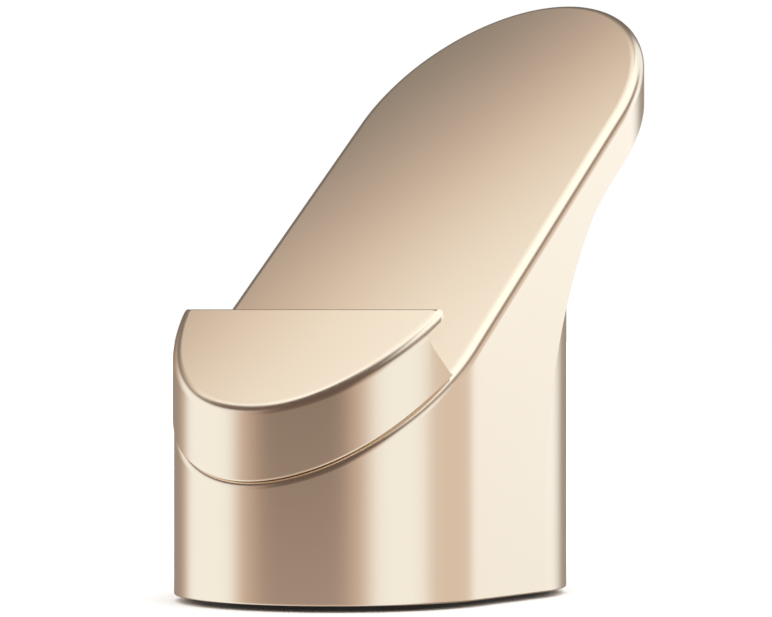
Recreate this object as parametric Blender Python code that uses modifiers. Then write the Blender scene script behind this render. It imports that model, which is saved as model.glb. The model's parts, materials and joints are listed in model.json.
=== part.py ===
"""Palm-held pore vacuum: a round-ended base with a leaning tongue handle and a lift-off cap over its nozzle.

Frame: +Z up, X across, the tongue leans towards +Y. The origin is the centre of the footprint of the whole
object's box, on the surface that it stands on. A height written "along the slope's normal" is measured out of
the sloping face, and a depth "u" is measured along +Y from the centre of the front round end.
"""
import math

import bmesh
import bpy
from mathutils import Matrix, Vector

MM = 0.001
GAP = 0.3 * MM                      # clearance between pieces that touch in life
SEAM = 0.2 * MM                     # the fine line between cap and body

# Outer form
HALF_WIDTH = 26 * MM                # radius of the round ends, and half the width
BASE_LENGTH = 20.2 * MM             # between the centres of the base's two round ends
TONGUE_LENGTH = 46.35 * MM          # from the front end's centre to the centre of the tongue's tip
SLOPE = math.radians(39.65)         # lean of the sloping face from level
FACE_HEIGHT = 40.95 * MM            # height of the sloping face over the front end's centre
TONGUE_DROP = 8.87 * MM             # the tongue's thickness, straight down
RIM_RADIUS = 1.85 * MM              # of the rounding round the sloping face
FOOT_LIFT = 1 * MM                  # the shell's lower edge over the table
LOWER_EDGE = 0.3 * MM
WALL = 1.8 * MM

# Neck: one curve in side view, from the base's flank to the tongue's underside
NECK_START_HEIGHT = 12.6 * MM
NECK_START_HANDLE = 24.84 * MM
NECK_END_U = 39.69 * MM
NECK_END_HANDLE = 10.46 * MM

# Cap, along the slope (towards the tongue) and along its normal
CAP_PROUD = 0.2 * MM
CAP_WALL = 1.5 * MM
CAP_TOP = 9.05 * MM
CAP_RIM_RADIUS = 2.4 * MM
CAP_LOWER_EDGE = 0.2 * MM
LEDGE_ALONG = -8.08 * MM
LIP_TIP_ALONG = -2.75 * MM
LIP_THICKNESS = 1.1 * MM
LIP_CORNER = 0.8 * MM
MAGNET_SIDE = 16 * MM
MAGNET_ALONG = -11.8 * MM
MAGNET_RADIUS = 2 * MM

# Nozzle, on an axis square to the sloping face
NOZZLE_ALONG = -20.5 * MM
SOCKET_RADIUS = 7.4 * MM
SOCKET_BORE = 6.7 * MM
SOCKET_DEPTH = 9.2 * MM
BARB_DEPTH = 6.9 * MM
BARB_RADIUS = 1.6 * MM
BARB_REACH = 12.4 * MM
NOZZLE_SCREW_SIDE = 11.4 * MM
TUBE_RADIUS = 1.9 * MM

# Pump and motor, on one axis along Y
MOTOR_HEIGHT = 17.6 * MM
MOTOR_RADIUS = 10.2 * MM
PUMP_U = 6 * MM
PUMP_HALF = 9 * MM
PUMP_FLOOR = 7.8 * MM
PUMP_TOP = 25.6 * MM
PUMP_BORE = 7.4 * MM
PUMP_SCREW_SIDE = 7.1 * MM
CRANK_THROW = 0.9 * MM
ROD_HOLE = 5.1 * MM
ROD_EYE = 6.6 * MM
SHAFT_RADIUS = 1 * MM

# Cell, board and controls
CELL_U = 21 * MM
CELL_HEIGHT = 41.5 * MM
CELL_RADIUS = 8.2 * MM
CELL_HALF_LENGTH = 17 * MM
BOARD_U = 36.1 * MM
BOARD_THICKNESS = 1.4 * MM
BOARD_HALF_WIDTH = 12 * MM
BOARD_TOP = 60 * MM
BUTTON_HEIGHT = 46 * MM
BUTTON_RADIUS = 5.2 * MM
LIGHT_HEIGHT = 36 * MM
LIGHT_PITCH = 4 * MM
VENT_HEIGHT = 23 * MM
VENT_PITCH = 3 * MM
USB_HEIGHT = 11 * MM

# Underside
PLATE_RADIUS = HALF_WIDTH - WALL - GAP
PLATE_LOW = 1.7 * MM
PLATE_HIGH = 4.2 * MM
FOOT_RADIUS = 22.4 * MM
CHASSIS_FLOOR = 4.5 * MM
CHASSIS_DECK = 6 * MM
BOSS_SIDE = 18.2 * MM
BOSS_SETBACK = 8.3 * MM
BOSS_RADIUS = 3.4 * MM
RIB_REACH = 23.3 * MM

FRONT_Y = -(TONGUE_LENGTH - CAP_PROUD) / 2
BACK_Y = FRONT_Y + BASE_LENGTH
TIP_Y = FRONT_Y + TONGUE_LENGTH
RISE = math.tan(SLOPE)
TALL = 0.2                          # a cutter's reach, well past the object
SIDES = (("left", -1), ("right", 1))

COLLECTION = "pore_vacuum"
CUTTERS = "cutters"


# ---- Scene and materials -------------------------------------------------------------------------------

def start_scene():
    for obj in list(bpy.data.objects):
        bpy.data.objects.remove(obj, do_unlink=True)
    for name in (COLLECTION, CUTTERS):
        collection = bpy.data.collections.new(name)
        bpy.context.scene.collection.children.link(collection)


def material(name, colour, metallic, roughness):
    mat = bpy.data.materials.get(name)
    if mat is None:
        mat = bpy.data.materials.new(name)
        mat.use_nodes = True
        shader = mat.node_tree.nodes["Principled BSDF"]
        shader.inputs["Base Color"].default_value = (*colour, 1)
        shader.inputs["Metallic"].default_value = metallic
        shader.inputs["Roughness"].default_value = roughness
    return mat


def gold():
    return material("champagne_metal", (0.84, 0.71, 0.58), 1.0, 0.28)


def black_rubber():
    return material("black_rubber", (0.02, 0.02, 0.02), 0.0, 0.8)


def clear_plastic():
    return material("clear_plastic", (0.85, 0.9, 0.92), 0.0, 0.08)


def silicone():
    return material("silicone", (0.82, 0.82, 0.8), 0.0, 0.5)


def white_plastic():
    return material("white_plastic", (0.85, 0.84, 0.82), 0.0, 0.45)


def dark_plastic():
    return material("dark_plastic", (0.05, 0.05, 0.055), 0.0, 0.5)


def steel():
    return material("steel", (0.6, 0.6, 0.62), 1.0, 0.35)


def foam():
    return material("foam", (0.2, 0.2, 0.21), 0.0, 0.95)


# ---- Shape helpers -------------------------------------------------------------------------------------

def add(name, mesh):
    obj = bpy.data.objects.new(name, mesh)
    bpy.data.collections[COLLECTION].objects.link(obj)
    return obj


def empty(name, location, rotation):
    """A frame that pieces are parented to; its local Z is the axis that they are turned or slide on."""
    obj = add(name, None)
    obj.location = location
    obj.rotation_euler = rotation
    bpy.context.view_layer.update()
    return obj


def baked(obj):
    """Turn the object's evaluated shape into its own welded mesh, faces pointing out."""
    graph = bpy.context.evaluated_depsgraph_get()
    mesh = bpy.data.meshes.new_from_object(obj.evaluated_get(graph))
    name, parent, place = obj.name, obj.parent, obj.matrix_basis.copy()
    bpy.data.objects.remove(obj, do_unlink=True)
    work = bmesh.new()
    work.from_mesh(mesh)
    bmesh.ops.remove_doubles(work, verts=work.verts, dist=1e-7)
    bmesh.ops.recalc_face_normals(work, faces=work.faces)
    work.to_mesh(mesh)
    work.free()
    result = add(name, mesh)
    result.parent = parent
    result.matrix_basis = place
    return result


def block(name, low, high):
    work = bmesh.new()
    bmesh.ops.create_cube(work, size=1)
    middle = (Vector(low) + Vector(high)) / 2
    size = Vector(high) - Vector(low)
    place = Matrix.Translation(middle) @ Matrix.Diagonal((*size, 1))
    bmesh.ops.transform(work, matrix=place, verts=work.verts)
    mesh = bpy.data.meshes.new(name)
    work.to_mesh(mesh)
    work.free()
    return add(name, mesh)


def rod(name, radius, start, end, segments=24):
    """A cylinder between two points."""
    start, end = Vector(start), Vector(end)
    work = bmesh.new()
    bmesh.ops.create_cone(work, cap_ends=True, segments=segments, radius1=radius, radius2=radius,
                          depth=(end - start).length)
    turn = Vector((0, 0, 1)).rotation_difference(end - start).to_matrix().to_4x4()
    bmesh.ops.transform(work, matrix=Matrix.Translation((start + end) / 2) @ turn, verts=work.verts)
    mesh = bpy.data.meshes.new(name)
    work.to_mesh(mesh)
    work.free()
    return add(name, mesh)


def turned(name, profile, segments=24):
    """A closed profile of (radius, height) points turned about local Z."""
    mesh = bpy.data.meshes.new(name)
    count = len(profile)
    points = [(radius, 0, height) for radius, height in profile]
    mesh.from_pydata(points, [(i, (i + 1) % count) for i in range(count)], [])
    obj = add(name, mesh)
    screw = obj.modifiers.new("turn", "SCREW")
    screw.steps = screw.render_steps = segments
    screw.use_merge_vertices = True
    screw.merge_threshold = 1e-6
    return baked(obj)


def ring(name, inner, outer, low, high, segments=24):
    return turned(name, [(outer, high), (outer, low), (inner, low), (inner, high)], segments)


def prism(name, outline, low, high):
    """A flat outline of (x, y) points, extruded from one height to another."""
    curve = bpy.data.curves.new(name, "CURVE")
    curve.dimensions = "2D"
    curve.fill_mode = "BOTH"
    curve.extrude = (high - low) / 2
    spline = curve.splines.new("POLY")
    spline.points.add(len(outline) - 1)
    for point, (x, y) in zip(spline.points, outline):
        point.co = (x, y, 0, 1)
    spline.use_cyclic_u = True
    obj = add(name, curve)
    result = baked(obj)
    result.data.transform(Matrix.Translation((0, 0, (high + low) / 2)))
    return result


def side_prism(name, outline, half_width):
    """An outline of (y, z) points in side view, extruded across X."""
    obj = prism(name, outline, -half_width, half_width)
    obj.data.transform(Matrix(((0, 0, 1, 0), (1, 0, 0, 0), (0, 1, 0, 0), (0, 0, 0, 1))))
    return obj


def arc(centre, radius, first, last, steps):
    angles = [math.radians(first + (last - first) * i / steps) for i in range(steps + 1)]
    return [(centre[0] + radius * math.cos(a), centre[1] + radius * math.sin(a)) for a in angles]


def stadium(radius, front, back, steps=30):
    """A round-ended outline lying along Y."""
    return arc((0, back), radius, 0, 180, steps) + arc((0, front), radius, 180, 360, steps)


def slot(radius, half_length, centre, steps=8):
    """A round-ended outline lying along its own first axis."""
    x, y = centre
    return (arc((x + half_length, y), radius, -90, 90, steps)
            + arc((x - half_length, y), radius, 90, 270, steps))


def across_back(name, outline, low_u, high_u):
    """An outline of (x, z) points, extruded along Y between two depths."""
    obj = prism(name, [(x, -z) for x, z in outline], FRONT_Y + low_u, FRONT_Y + high_u)
    obj.data.transform(Matrix.Rotation(math.radians(-90), 4, "X"))
    return obj


def shape(target, cutter, operation="DIFFERENCE"):
    """Add a Boolean with a cutter, which goes to the cutters' collection."""
    bpy.data.collections[COLLECTION].objects.unlink(cutter)
    bpy.data.collections[CUTTERS].objects.link(cutter)
    cutter.hide_render = True
    cutter.display_type = "WIRE"
    step = target.modifiers.new(cutter.name, "BOOLEAN")
    step.operation = operation
    step.solver = "EXACT"
    step.object = cutter
    return target


def put(obj, frame):
    obj.parent = frame
    bpy.context.view_layer.update()
    return obj


def finish(obj, mat, smooth=True):
    obj.data.materials.clear()
    obj.data.materials.append(mat)
    if smooth:
        obj.data.shade_smooth()
        obj.data.set_sharp_from_angle(angle=math.radians(35))
    return obj


def bevelled(obj, chosen, width):
    """Break the edges that chosen(edge) picks, on the object's own mesh."""
    work = bmesh.new()
    work.from_mesh(obj.data)
    edges = [edge for edge in work.edges if chosen(edge)]
    bmesh.ops.bevel(work, geom=edges, offset=width, offset_type="OFFSET", segments=1, profile=0.5,
                    affect="EDGES", clamp_overlap=True)
    bmesh.ops.recalc_face_normals(work, faces=work.faces)
    work.to_mesh(obj.data)
    work.free()
    return obj


def rolled(obj, chosen, radius, segments=4):
    """Round the edges that chosen(edge) picks to one radius, however sharp each of them is."""
    work = bmesh.new()
    work.from_mesh(obj.data)
    rounded = [edge for edge in work.edges if chosen(edge)]
    setbacks = {edge.index: radius * math.tan(edge.calc_face_angle() / 2) for edge in rounded}
    work.free()
    widest = max(setbacks.values())
    weights = obj.data.attributes.new("bevel_weight_edge", "FLOAT", "EDGE")
    for index, setback in setbacks.items():
        weights.data[index].value = setback / widest
    step = obj.modifiers.new("rolled_edge", "BEVEL")
    step.limit_method = "WEIGHT"
    step.offset_type = "OFFSET"
    step.width = widest
    step.segments = segments
    step.use_clamp_overlap = False
    return baked(obj)


# ---- Places on the sloping face ------------------------------------------------------------------------

def face_height(y, depth=0.0):
    """Height at y of the plane that lies a depth under the sloping face, square to it."""
    return FACE_HEIGHT + (y - FRONT_Y) * RISE - depth / math.cos(SLOPE)


def on_slope(along, out):
    """The (y, z) of a place so far along the slope and so far out of it."""
    return (FRONT_Y + along * math.cos(SLOPE) - out * math.sin(SLOPE),
            FACE_HEIGHT + along * math.sin(SLOPE) + out * math.cos(SLOPE))


def out_of_face(point):
    return (point.z - FACE_HEIGHT) * math.cos(SLOPE) - (point.y - FRONT_Y) * math.sin(SLOPE)


def is_corner(edge):
    return edge.calc_face_angle() > math.radians(20)


def is_on_plane(edge, out):
    """Whether an edge lies in the plane that far out of the sloping face."""
    return all(abs(out_of_face(vert.co) - out) < 1e-6 for vert in edge.verts)


def above_face(name, depth=0.0):
    """Everything over the sloping face, or over a plane a depth under it."""
    low, high = -TALL, TALL
    outline = [(low, face_height(low, depth)), (high, face_height(high, depth)), (high, 2 * TALL),
               (low, 2 * TALL)]
    return side_prism(name, outline, TALL)


def neck_curve(wall=0.0, steps=14):
    """The side-view line under the neck and tongue, or the same line moved up into the wall."""
    slope_y, slope_z = math.cos(SLOPE), math.sin(SLOPE)
    end_y = FRONT_Y + NECK_END_U
    end_z = face_height(end_y) - TONGUE_DROP
    handles = ((BACK_Y, NECK_START_HEIGHT), (BACK_Y, NECK_START_HEIGHT + NECK_START_HANDLE),
               (end_y - slope_y * NECK_END_HANDLE, end_z - slope_z * NECK_END_HANDLE), (end_y, end_z))
    a, b, c, d = (Vector(handle) for handle in handles)
    points = []
    for i in range(steps + 1):
        t = i / steps
        place = (1 - t) ** 3 * a + 3 * (1 - t) ** 2 * t * b + 3 * (1 - t) * t ** 2 * c + t ** 3 * d
        heading = (1 - t) ** 2 * (b - a) + 2 * (1 - t) * t * (c - b) + t ** 2 * (d - c)
        heading.normalize()
        points.append((place.x - heading.y * wall, place.y + heading.x * wall))
    return points


def under_tongue(name, wall=0.0):
    """The space behind the base and under the tongue."""
    radius = HALF_WIDTH - wall
    line = neck_curve(wall)
    last_y, last_z = line[-1]
    outline = [(line[0][0], -TALL), *line, (TALL, last_z + (TALL - last_y) * RISE), (TALL, -TALL)]
    space = side_prism(name, outline, TALL)
    shape(space, prism(name + "_base", stadium(radius, FRONT_Y, BACK_Y), -2 * TALL, 2 * TALL))
    return baked(space)


# ---- Body shell ----------------------------------------------------------------------------------------

def leaning_column(name, radius, back, out, rim):
    """A round-ended column up to a plane so far out of the sloping face, with a rounded rim round its top."""
    column = prism(name, stadium(radius, FRONT_Y, back), FOOT_LIFT, TALL)
    column = baked(shape(column, above_face(name + "_above", -out)))
    return rolled(column, lambda edge: is_on_plane(edge, out) and is_corner(edge), rim)


def room_in_shell():
    """The hollow inside the body, open downwards."""
    room = prism("hollow", stadium(HALF_WIDTH - WALL, FRONT_Y, TIP_Y), -TALL, TALL)
    shape(room, above_face("hollow_above", WALL))
    shape(room, under_tongue("hollow_under", WALL))
    return baked(room)


def boss_places():
    for side in (-1, 1):
        yield side * BOSS_SIDE, FRONT_Y - BOSS_SETBACK
        yield side * BOSS_SIDE, BACK_Y + BOSS_SETBACK


def add_base_bosses(shell):
    for index, (x, y) in enumerate(boss_places()):
        low, high = CHASSIS_DECK + GAP, 15 * MM
        boss = rod(f"boss_{index}", BOSS_RADIUS, (x, y, low), (x, y, high), 20)
        inner, outer = sorted((x, math.copysign(RIB_REACH, x)))
        rib = block(f"boss_rib_{index}", (inner, y - 0.9 * MM, low), (outer, y + 0.9 * MM, high - 1 * MM))
        shape(shell, boss, "UNION")
        shape(shell, rib, "UNION")
    for index, (x, y) in enumerate(boss_places()):
        shape(shell, rod(f"boss_hole_{index}", 1.4 * MM, (x, y, 2 * MM), (x, y, 13.5 * MM), 16))


def add_face_bosses(shell, nozzle):
    for side in (-1, 1):
        x = side * NOZZLE_SCREW_SIDE
        boss = rod(f"face_boss_{side}", 2.6 * MM, (x, 0, -1 * MM), (x, 0, -4 * MM), 20)
        shape(shell, put(boss, nozzle), "UNION")
        y = MAGNET_ALONG - NOZZLE_ALONG
        pad = rod(f"keeper_pad_{side}", 3.4 * MM, (side * MAGNET_SIDE, y, -1 * MM),
                  (side * MAGNET_SIDE, y, -2.6 * MM), 20)
        shape(shell, put(pad, nozzle), "UNION")
    for side in (-1, 1):
        x = side * NOZZLE_SCREW_SIDE
        hole = rod(f"face_boss_hole_{side}", 1.3 * MM, (x, 0, 2 * MM), (x, 0, -3.7 * MM), 16)
        shape(shell, put(hole, nozzle))
        x, y = side * MAGNET_SIDE, MAGNET_ALONG - NOZZLE_ALONG
        pocket = rod(f"keeper_pocket_{side}", MAGNET_RADIUS + GAP, (x, y, 2 * MM), (x, y, -1.5 * MM), 24)
        shape(shell, put(pocket, nozzle))


def cut_back_openings(shell):
    wall_in, wall_out = 38 * MM, 50 * MM
    shape(shell, rod("button_hole", BUTTON_RADIUS + GAP, (0, FRONT_Y + wall_in, BUTTON_HEIGHT),
                     (0, FRONT_Y + wall_out, BUTTON_HEIGHT), 28))
    for index in (-1, 0, 1):
        x = index * LIGHT_PITCH
        shape(shell, rod(f"light_hole_{index}", 1.3 * MM, (x, FRONT_Y + wall_in, LIGHT_HEIGHT),
                         (x, FRONT_Y + wall_out, LIGHT_HEIGHT), 16))
    for index in range(-2, 3):
        outline = [(index * VENT_PITCH + x, VENT_HEIGHT + z) for z, x in slot(0.6 * MM, 4.4 * MM, (0, 0), 6)]
        shape(shell, across_back(f"vent_{index}", outline, wall_in, wall_out))
    outline = slot(1.9 * MM, 2.95 * MM, (0, USB_HEIGHT))
    shape(shell, across_back("usb_hole", outline, wall_in, wall_out))


def body_shell(nozzle):
    shell = leaning_column("body_shell", HALF_WIDTH, TIP_Y, 0, RIM_RADIUS)
    shell = baked(shape(shell, under_tongue("outer_under")))
    bevelled(shell, lambda edge: all(abs(vert.co.z - FOOT_LIFT) < 1e-6 for vert in edge.verts), LOWER_EDGE)
    shape(shell, room_in_shell())
    add_base_bosses(shell)
    add_face_bosses(shell, nozzle)
    aperture = rod("nozzle_aperture", SOCKET_RADIUS + GAP, (0, 0, 5 * MM), (0, 0, -5 * MM), 28)
    shape(shell, put(aperture, nozzle))
    cut_back_openings(shell)
    return finish(shell, gold())


# ---- Cap and what holds it -----------------------------------------------------------------------------

def cap_side_form():
    """What the cap keeps of its column in side view: ridge, finger lip, ledge and flat foot."""
    front, over = -60 * MM, CAP_TOP + 5 * MM
    under = CAP_TOP - LIP_THICKNESS
    corner = arc((LEDGE_ALONG + LIP_CORNER, under - LIP_CORNER), LIP_CORNER, 180, 90, 4)
    outline = [(front, SEAM), (LEDGE_ALONG, SEAM), *corner, (LIP_TIP_ALONG, under), (LIP_TIP_ALONG, over),
               (front, over)]
    return side_prism("cap_form", [on_slope(*point) for point in outline], TALL)


def room_in_cap():
    """The hollow inside the cap, open towards the body."""
    front, low = -60 * MM, -5 * MM
    ledge, top = LEDGE_ALONG - CAP_WALL, CAP_TOP - CAP_WALL
    outline = [(front, low), (ledge, low), (ledge, top), (front, top)]
    room = prism("cap_hollow", stadium(HALF_WIDTH + CAP_PROUD - CAP_WALL, FRONT_Y, BACK_Y), 0, TALL)
    shape(room, side_prism("cap_hollow_form", [on_slope(*point) for point in outline], TALL), "INTERSECT")
    return baked(room)


def nozzle_cap(nozzle):
    cap = leaning_column("nozzle_cap", HALF_WIDTH + CAP_PROUD, BACK_Y, CAP_TOP, CAP_RIM_RADIUS)
    cap = baked(shape(cap, cap_side_form(), "INTERSECT"))
    bevelled(cap, lambda edge: is_on_plane(edge, SEAM) and is_corner(edge), CAP_LOWER_EDGE)
    shape(cap, room_in_cap())
    for side in (-1, 1):
        x, y = side * MAGNET_SIDE, MAGNET_ALONG - NOZZLE_ALONG
        low, high = (x, y, 0.5 * MM), (x, y, CAP_TOP - 1 * MM)
        post = rod(f"magnet_post_{side}", MAGNET_RADIUS + 1.2 * MM, low, high)
        shape(cap, put(post, nozzle), "UNION")
        low, high = (x, y, -1 * MM), (x, y, 2.3 * MM)
        pocket = rod(f"magnet_pocket_{side}", MAGNET_RADIUS + GAP, low, high)
        shape(cap, put(pocket, nozzle))
    cap = baked(cap)
    cap.data.transform(nozzle.matrix_world.inverted())
    return finish(put(cap, nozzle), gold())


def cap_discs(name, low, high, nozzle):
    """A steel or magnet disc at each end of the ledge."""
    y = MAGNET_ALONG - NOZZLE_ALONG
    for label, side in SIDES:
        x = side * MAGNET_SIDE
        disc = rod(f"{name}_{label}", MAGNET_RADIUS, (x, y, low), (x, y, high))
        finish(put(disc, nozzle), steel())


# ---- Nozzle group --------------------------------------------------------------------------------------

def nozzle_housing(nozzle):
    plate = prism("nozzle_housing", slot(8.4 * MM, 5.6 * MM, (0, 0), 12), GAP, 1.5 * MM)
    put(plate, nozzle)
    socket = rod("socket", SOCKET_RADIUS, (0, 0, 1 * MM), (0, 0, -SOCKET_DEPTH), 28)
    barb = rod("socket_barb", BARB_RADIUS, (6.9 * MM, 0, -BARB_DEPTH), (BARB_REACH, 0, -BARB_DEPTH), 16)
    bore = rod("socket_bore", SOCKET_BORE, (0, 0, 3 * MM), (0, 0, -5.9 * MM), 28)
    chamber = rod("socket_chamber", 5.8 * MM, (0, 0, -5 * MM), (0, 0, -8.4 * MM), 28)
    way = rod("barb_bore", 0.8 * MM, (4 * MM, 0, -BARB_DEPTH), (14 * MM, 0, -BARB_DEPTH), 12)
    for piece in (socket, barb):
        shape(plate, put(piece, nozzle), "UNION")
    for piece in (bore, chamber, way):
        shape(plate, put(piece, nozzle))
    for side in (-1, 1):
        x = side * NOZZLE_SCREW_SIDE
        hole = rod(f"housing_hole_{side}", 1.3 * MM, (x, 0, -1 * MM), (x, 0, 3 * MM), 16)
        shape(plate, put(hole, nozzle))
    return finish(plate, white_plastic())


def pan_screw(name, place, head_radius, head_low, head_high, radius, tip):
    """A screw standing along local Z with its head at head_low to head_high; tip is its far end."""
    x, y = place
    outline = [(head_radius, head_high), (head_radius, head_low), (radius, head_low), (radius, tip), (0, tip),
               (0, head_high)]
    screw = turned(name, outline, 12)
    screw.data.transform(Matrix.Translation((x, y, 0)))
    return screw


def nozzle_screws(nozzle):
    for label, side in SIDES:
        place = (side * NOZZLE_SCREW_SIDE, 0)
        screw = pan_screw(f"nozzle_screw_{label}", place, 1.9 * MM, 1.8 * MM, 2.8 * MM, 1 * MM, -3.4 * MM)
        finish(put(screw, nozzle), steel())


def suction_tip(nozzle):
    """Clear cup: a plug in the socket, a flange on the seal and a cone up to the mouth."""
    mouth = arc((5.6 * MM, 6.3 * MM), 0.5 * MM, 0, 180, 4)
    outline = [*reversed(mouth), (7.4 * MM, 3.5 * MM), (8.4 * MM, 3.4 * MM), (8.4 * MM, 2.6 * MM),
               (6.3 * MM, 2.6 * MM), (6.3 * MM, -2 * MM), (5.3 * MM, -2 * MM)]
    return finish(put(turned("suction_tip", outline, 28), nozzle), clear_plastic())


def filter_grid(nozzle):
    grid = rod("filter_grid", SOCKET_BORE - GAP, (0, 0, -5.6 * MM), (0, 0, -4.8 * MM), 32)
    put(grid, nozzle)
    for index in range(7):
        reach = 0 if index == 6 else 3.9 * MM
        angle = math.radians(60 * index)
        x, y = reach * math.cos(angle), reach * math.sin(angle)
        hole = rod(f"grid_hole_{index}", 1.4 * MM, (x, y, -7 * MM), (x, y, -3 * MM), 8)
        shape(grid, put(hole, nozzle))
    return finish(grid, white_plastic())


def round_lead(name, radius, points, resolution):
    """A tube or wire through Bezier points given as (place, handle)."""
    curve = bpy.data.curves.new(name, "CURVE")
    curve.dimensions = "3D"
    curve.bevel_depth = radius
    curve.bevel_resolution = 2
    curve.use_fill_caps = True
    curve.resolution_u = resolution
    spline = curve.splines.new("BEZIER")
    spline.bezier_points.add(len(points) - 1)
    for knot, (place, handle) in zip(spline.bezier_points, points):
        knot.co = place
        knot.handle_left = Vector(place) - Vector(handle)
        knot.handle_right = Vector(place) + Vector(handle)
    return baked(add(name, curve))


def suction_tube():
    y, z = on_slope(NOZZLE_ALONG, -BARB_DEPTH)
    bulge = 9 * MM
    start = (BARB_REACH + GAP, y, z)
    end = (BARB_REACH + GAP, FRONT_Y + PUMP_U, 33 * MM)
    tube = round_lead("suction_tube", TUBE_RADIUS, [(start, (bulge, 0, 0)), (end, (-bulge, 0, 0))], 14)
    return finish(tube, silicone())


# ---- Pump ----------------------------------------------------------------------------------------------

def pump_corners():
    for side in (-1, 1):
        for end in (-1, 1):
            yield side * PUMP_SCREW_SIDE, FRONT_Y + PUMP_U + end * PUMP_SCREW_SIDE


def pump_block(name, low, high):
    y = FRONT_Y + PUMP_U
    return block(name, (-PUMP_HALF, y - PUMP_HALF, low), (PUMP_HALF, y + PUMP_HALF, high))


def drill_pump_corners(obj, low, high):
    for index, (x, y) in enumerate(pump_corners()):
        shape(obj, rod(f"{obj.name}_hole_{index}", 1 * MM, (x, y, low), (x, y, high), 12))


def pump_housing():
    y = FRONT_Y + PUMP_U
    housing = pump_block("pump_housing", PUMP_FLOOR, PUMP_TOP)
    shape(housing, rod("pump_bore", PUMP_BORE, (0, y, 8.9 * MM), (0, y, 30 * MM), 32))
    inside, outside = (0, y + 2 * MM, MOTOR_HEIGHT), (0, y + 12 * MM, MOTOR_HEIGHT)
    shape(housing, rod("wheel_hole", 5.6 * MM, inside, outside, 32))
    drill_pump_corners(housing, 12.5 * MM, 30 * MM)
    return finish(housing, dark_plastic())


def diaphragm():
    """Thick rim, thin rolled web and a flat centre with a hole for the rod's stud."""
    low, high = 25.9 * MM, 27.1 * MM
    web_low, web_high = 26.2 * MM, 26.8 * MM
    outline = [(8.2 * MM, high), (8.2 * MM, low), (6.8 * MM, low), (6.4 * MM, web_low), (1.5 * MM, web_low),
               (1.5 * MM, web_high), (6.4 * MM, web_high), (6.8 * MM, high)]
    part = turned("diaphragm", outline)
    part.location = (0, FRONT_Y + PUMP_U, 0)
    return finish(part, black_rubber())


def connecting_rod():
    """Eye round the crank bearing, neck, flange under the diaphragm and the stud through it."""
    y = FRONT_Y + PUMP_U
    half = 1.6 * MM
    part = rod("connecting_rod", ROD_EYE, (0, y - half, MOTOR_HEIGHT), (0, y + half, MOTOR_HEIGHT), 28)
    neck = block("rod_neck", (-1.8 * MM, y - 1.4 * MM, 23.5 * MM), (1.8 * MM, y + 1.4 * MM, 25 * MM))
    flange = rod("rod_flange", 3.4 * MM, (0, y, 24.6 * MM), (0, y, 25.6 * MM), 24)
    stud = rod("rod_stud", 1.2 * MM, (0, y, 25 * MM), (0, y, 28.2 * MM), 16)
    for piece in (neck, flange, stud):
        shape(part, piece, "UNION")
    shape(part, rod("rod_hole", ROD_HOLE, (0, y - 5 * MM, MOTOR_HEIGHT), (0, y + 5 * MM, MOTOR_HEIGHT), 32))
    part = baked(part)
    slide = empty("rod_slide", (0, y, MOTOR_HEIGHT), (0, 0, 0))
    part.data.transform(slide.matrix_world.inverted())
    return finish(put(part, slide), white_plastic()), slide


def diaphragm_washer(slide):
    washer = ring("diaphragm_washer", 1.5 * MM, 3.4 * MM, 27.4 * MM, 28.1 * MM, 24)
    washer.data.transform(Matrix.Translation((0, 0, -MOTOR_HEIGHT)))
    return finish(put(washer, slide), steel())


def valve_plate():
    y = FRONT_Y + PUMP_U
    plate = pump_block("valve_plate", 27.4 * MM, 30.4 * MM)
    shape(plate, rod("pump_chamber", 6.4 * MM, (0, y, 25 * MM), (0, y, 29.3 * MM), 32))
    for side in (-1, 1):
        x = side * 3.4 * MM
        shape(plate, rod(f"valve_port_{side}", 1 * MM, (x, y, 26 * MM), (x, y, 33 * MM), 12))
    drill_pump_corners(plate, 26 * MM, 33 * MM)
    return finish(plate, dark_plastic())


def valve_flaps():
    """One thin rubber piece: a round flap over each port and a bridge between them."""
    y = FRONT_Y + PUMP_U
    low, high = 30.7 * MM, 31.2 * MM
    flaps = block("valve_flaps", (-3 * MM, y - 0.8 * MM, low), (3 * MM, y + 0.8 * MM, high))
    for side in (-1, 1):
        x = side * 3.4 * MM
        shape(flaps, rod(f"flap_{side}", 2.2 * MM, (x, y, low), (x, y, high), 20), "UNION")
    return finish(flaps, silicone())


def pump_head():
    y = FRONT_Y + PUMP_U
    level = 33 * MM
    head = pump_block("pump_head", 30.7 * MM, 35 * MM)
    for side in (-1, 1):
        start, end = (side * 8 * MM, y, level), (side * BARB_REACH, y, level)
        barb = rod(f"head_barb_{side}", BARB_RADIUS, start, end, 16)
        shape(head, barb, "UNION")
    for side in (-1, 1):
        x = side * 3.4 * MM
        shape(head, rod(f"flap_well_{side}", 2.8 * MM, (x, y, 29 * MM), (x, y, 32.4 * MM), 20))
        shape(head, rod(f"barb_way_{side}", 0.8 * MM, (x, y, level), (side * 14 * MM, y, level), 12))
    shape(head, block("bridge_well", (-3 * MM, y - 1.1 * MM, 29 * MM), (3 * MM, y + 1.1 * MM, 31.6 * MM)))
    drill_pump_corners(head, 29 * MM, 36 * MM)
    for index, place in enumerate(pump_corners()):
        shape(head, rod(f"head_recess_{index}", 1.55 * MM, (*place, 33.7 * MM), (*place, 36 * MM), 16))
    return finish(head, dark_plastic())


def pump_screws():
    for index, place in enumerate(pump_corners(), 1):
        screw = pan_screw(f"pump_screw_{index}", place, 1.25 * MM, 34 * MM, 34.9 * MM, 0.7 * MM, 13 * MM)
        finish(screw, steel())


# ---- Motor and crank, in a frame whose local Z runs along +Y from the front end's centre ---------------

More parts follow.
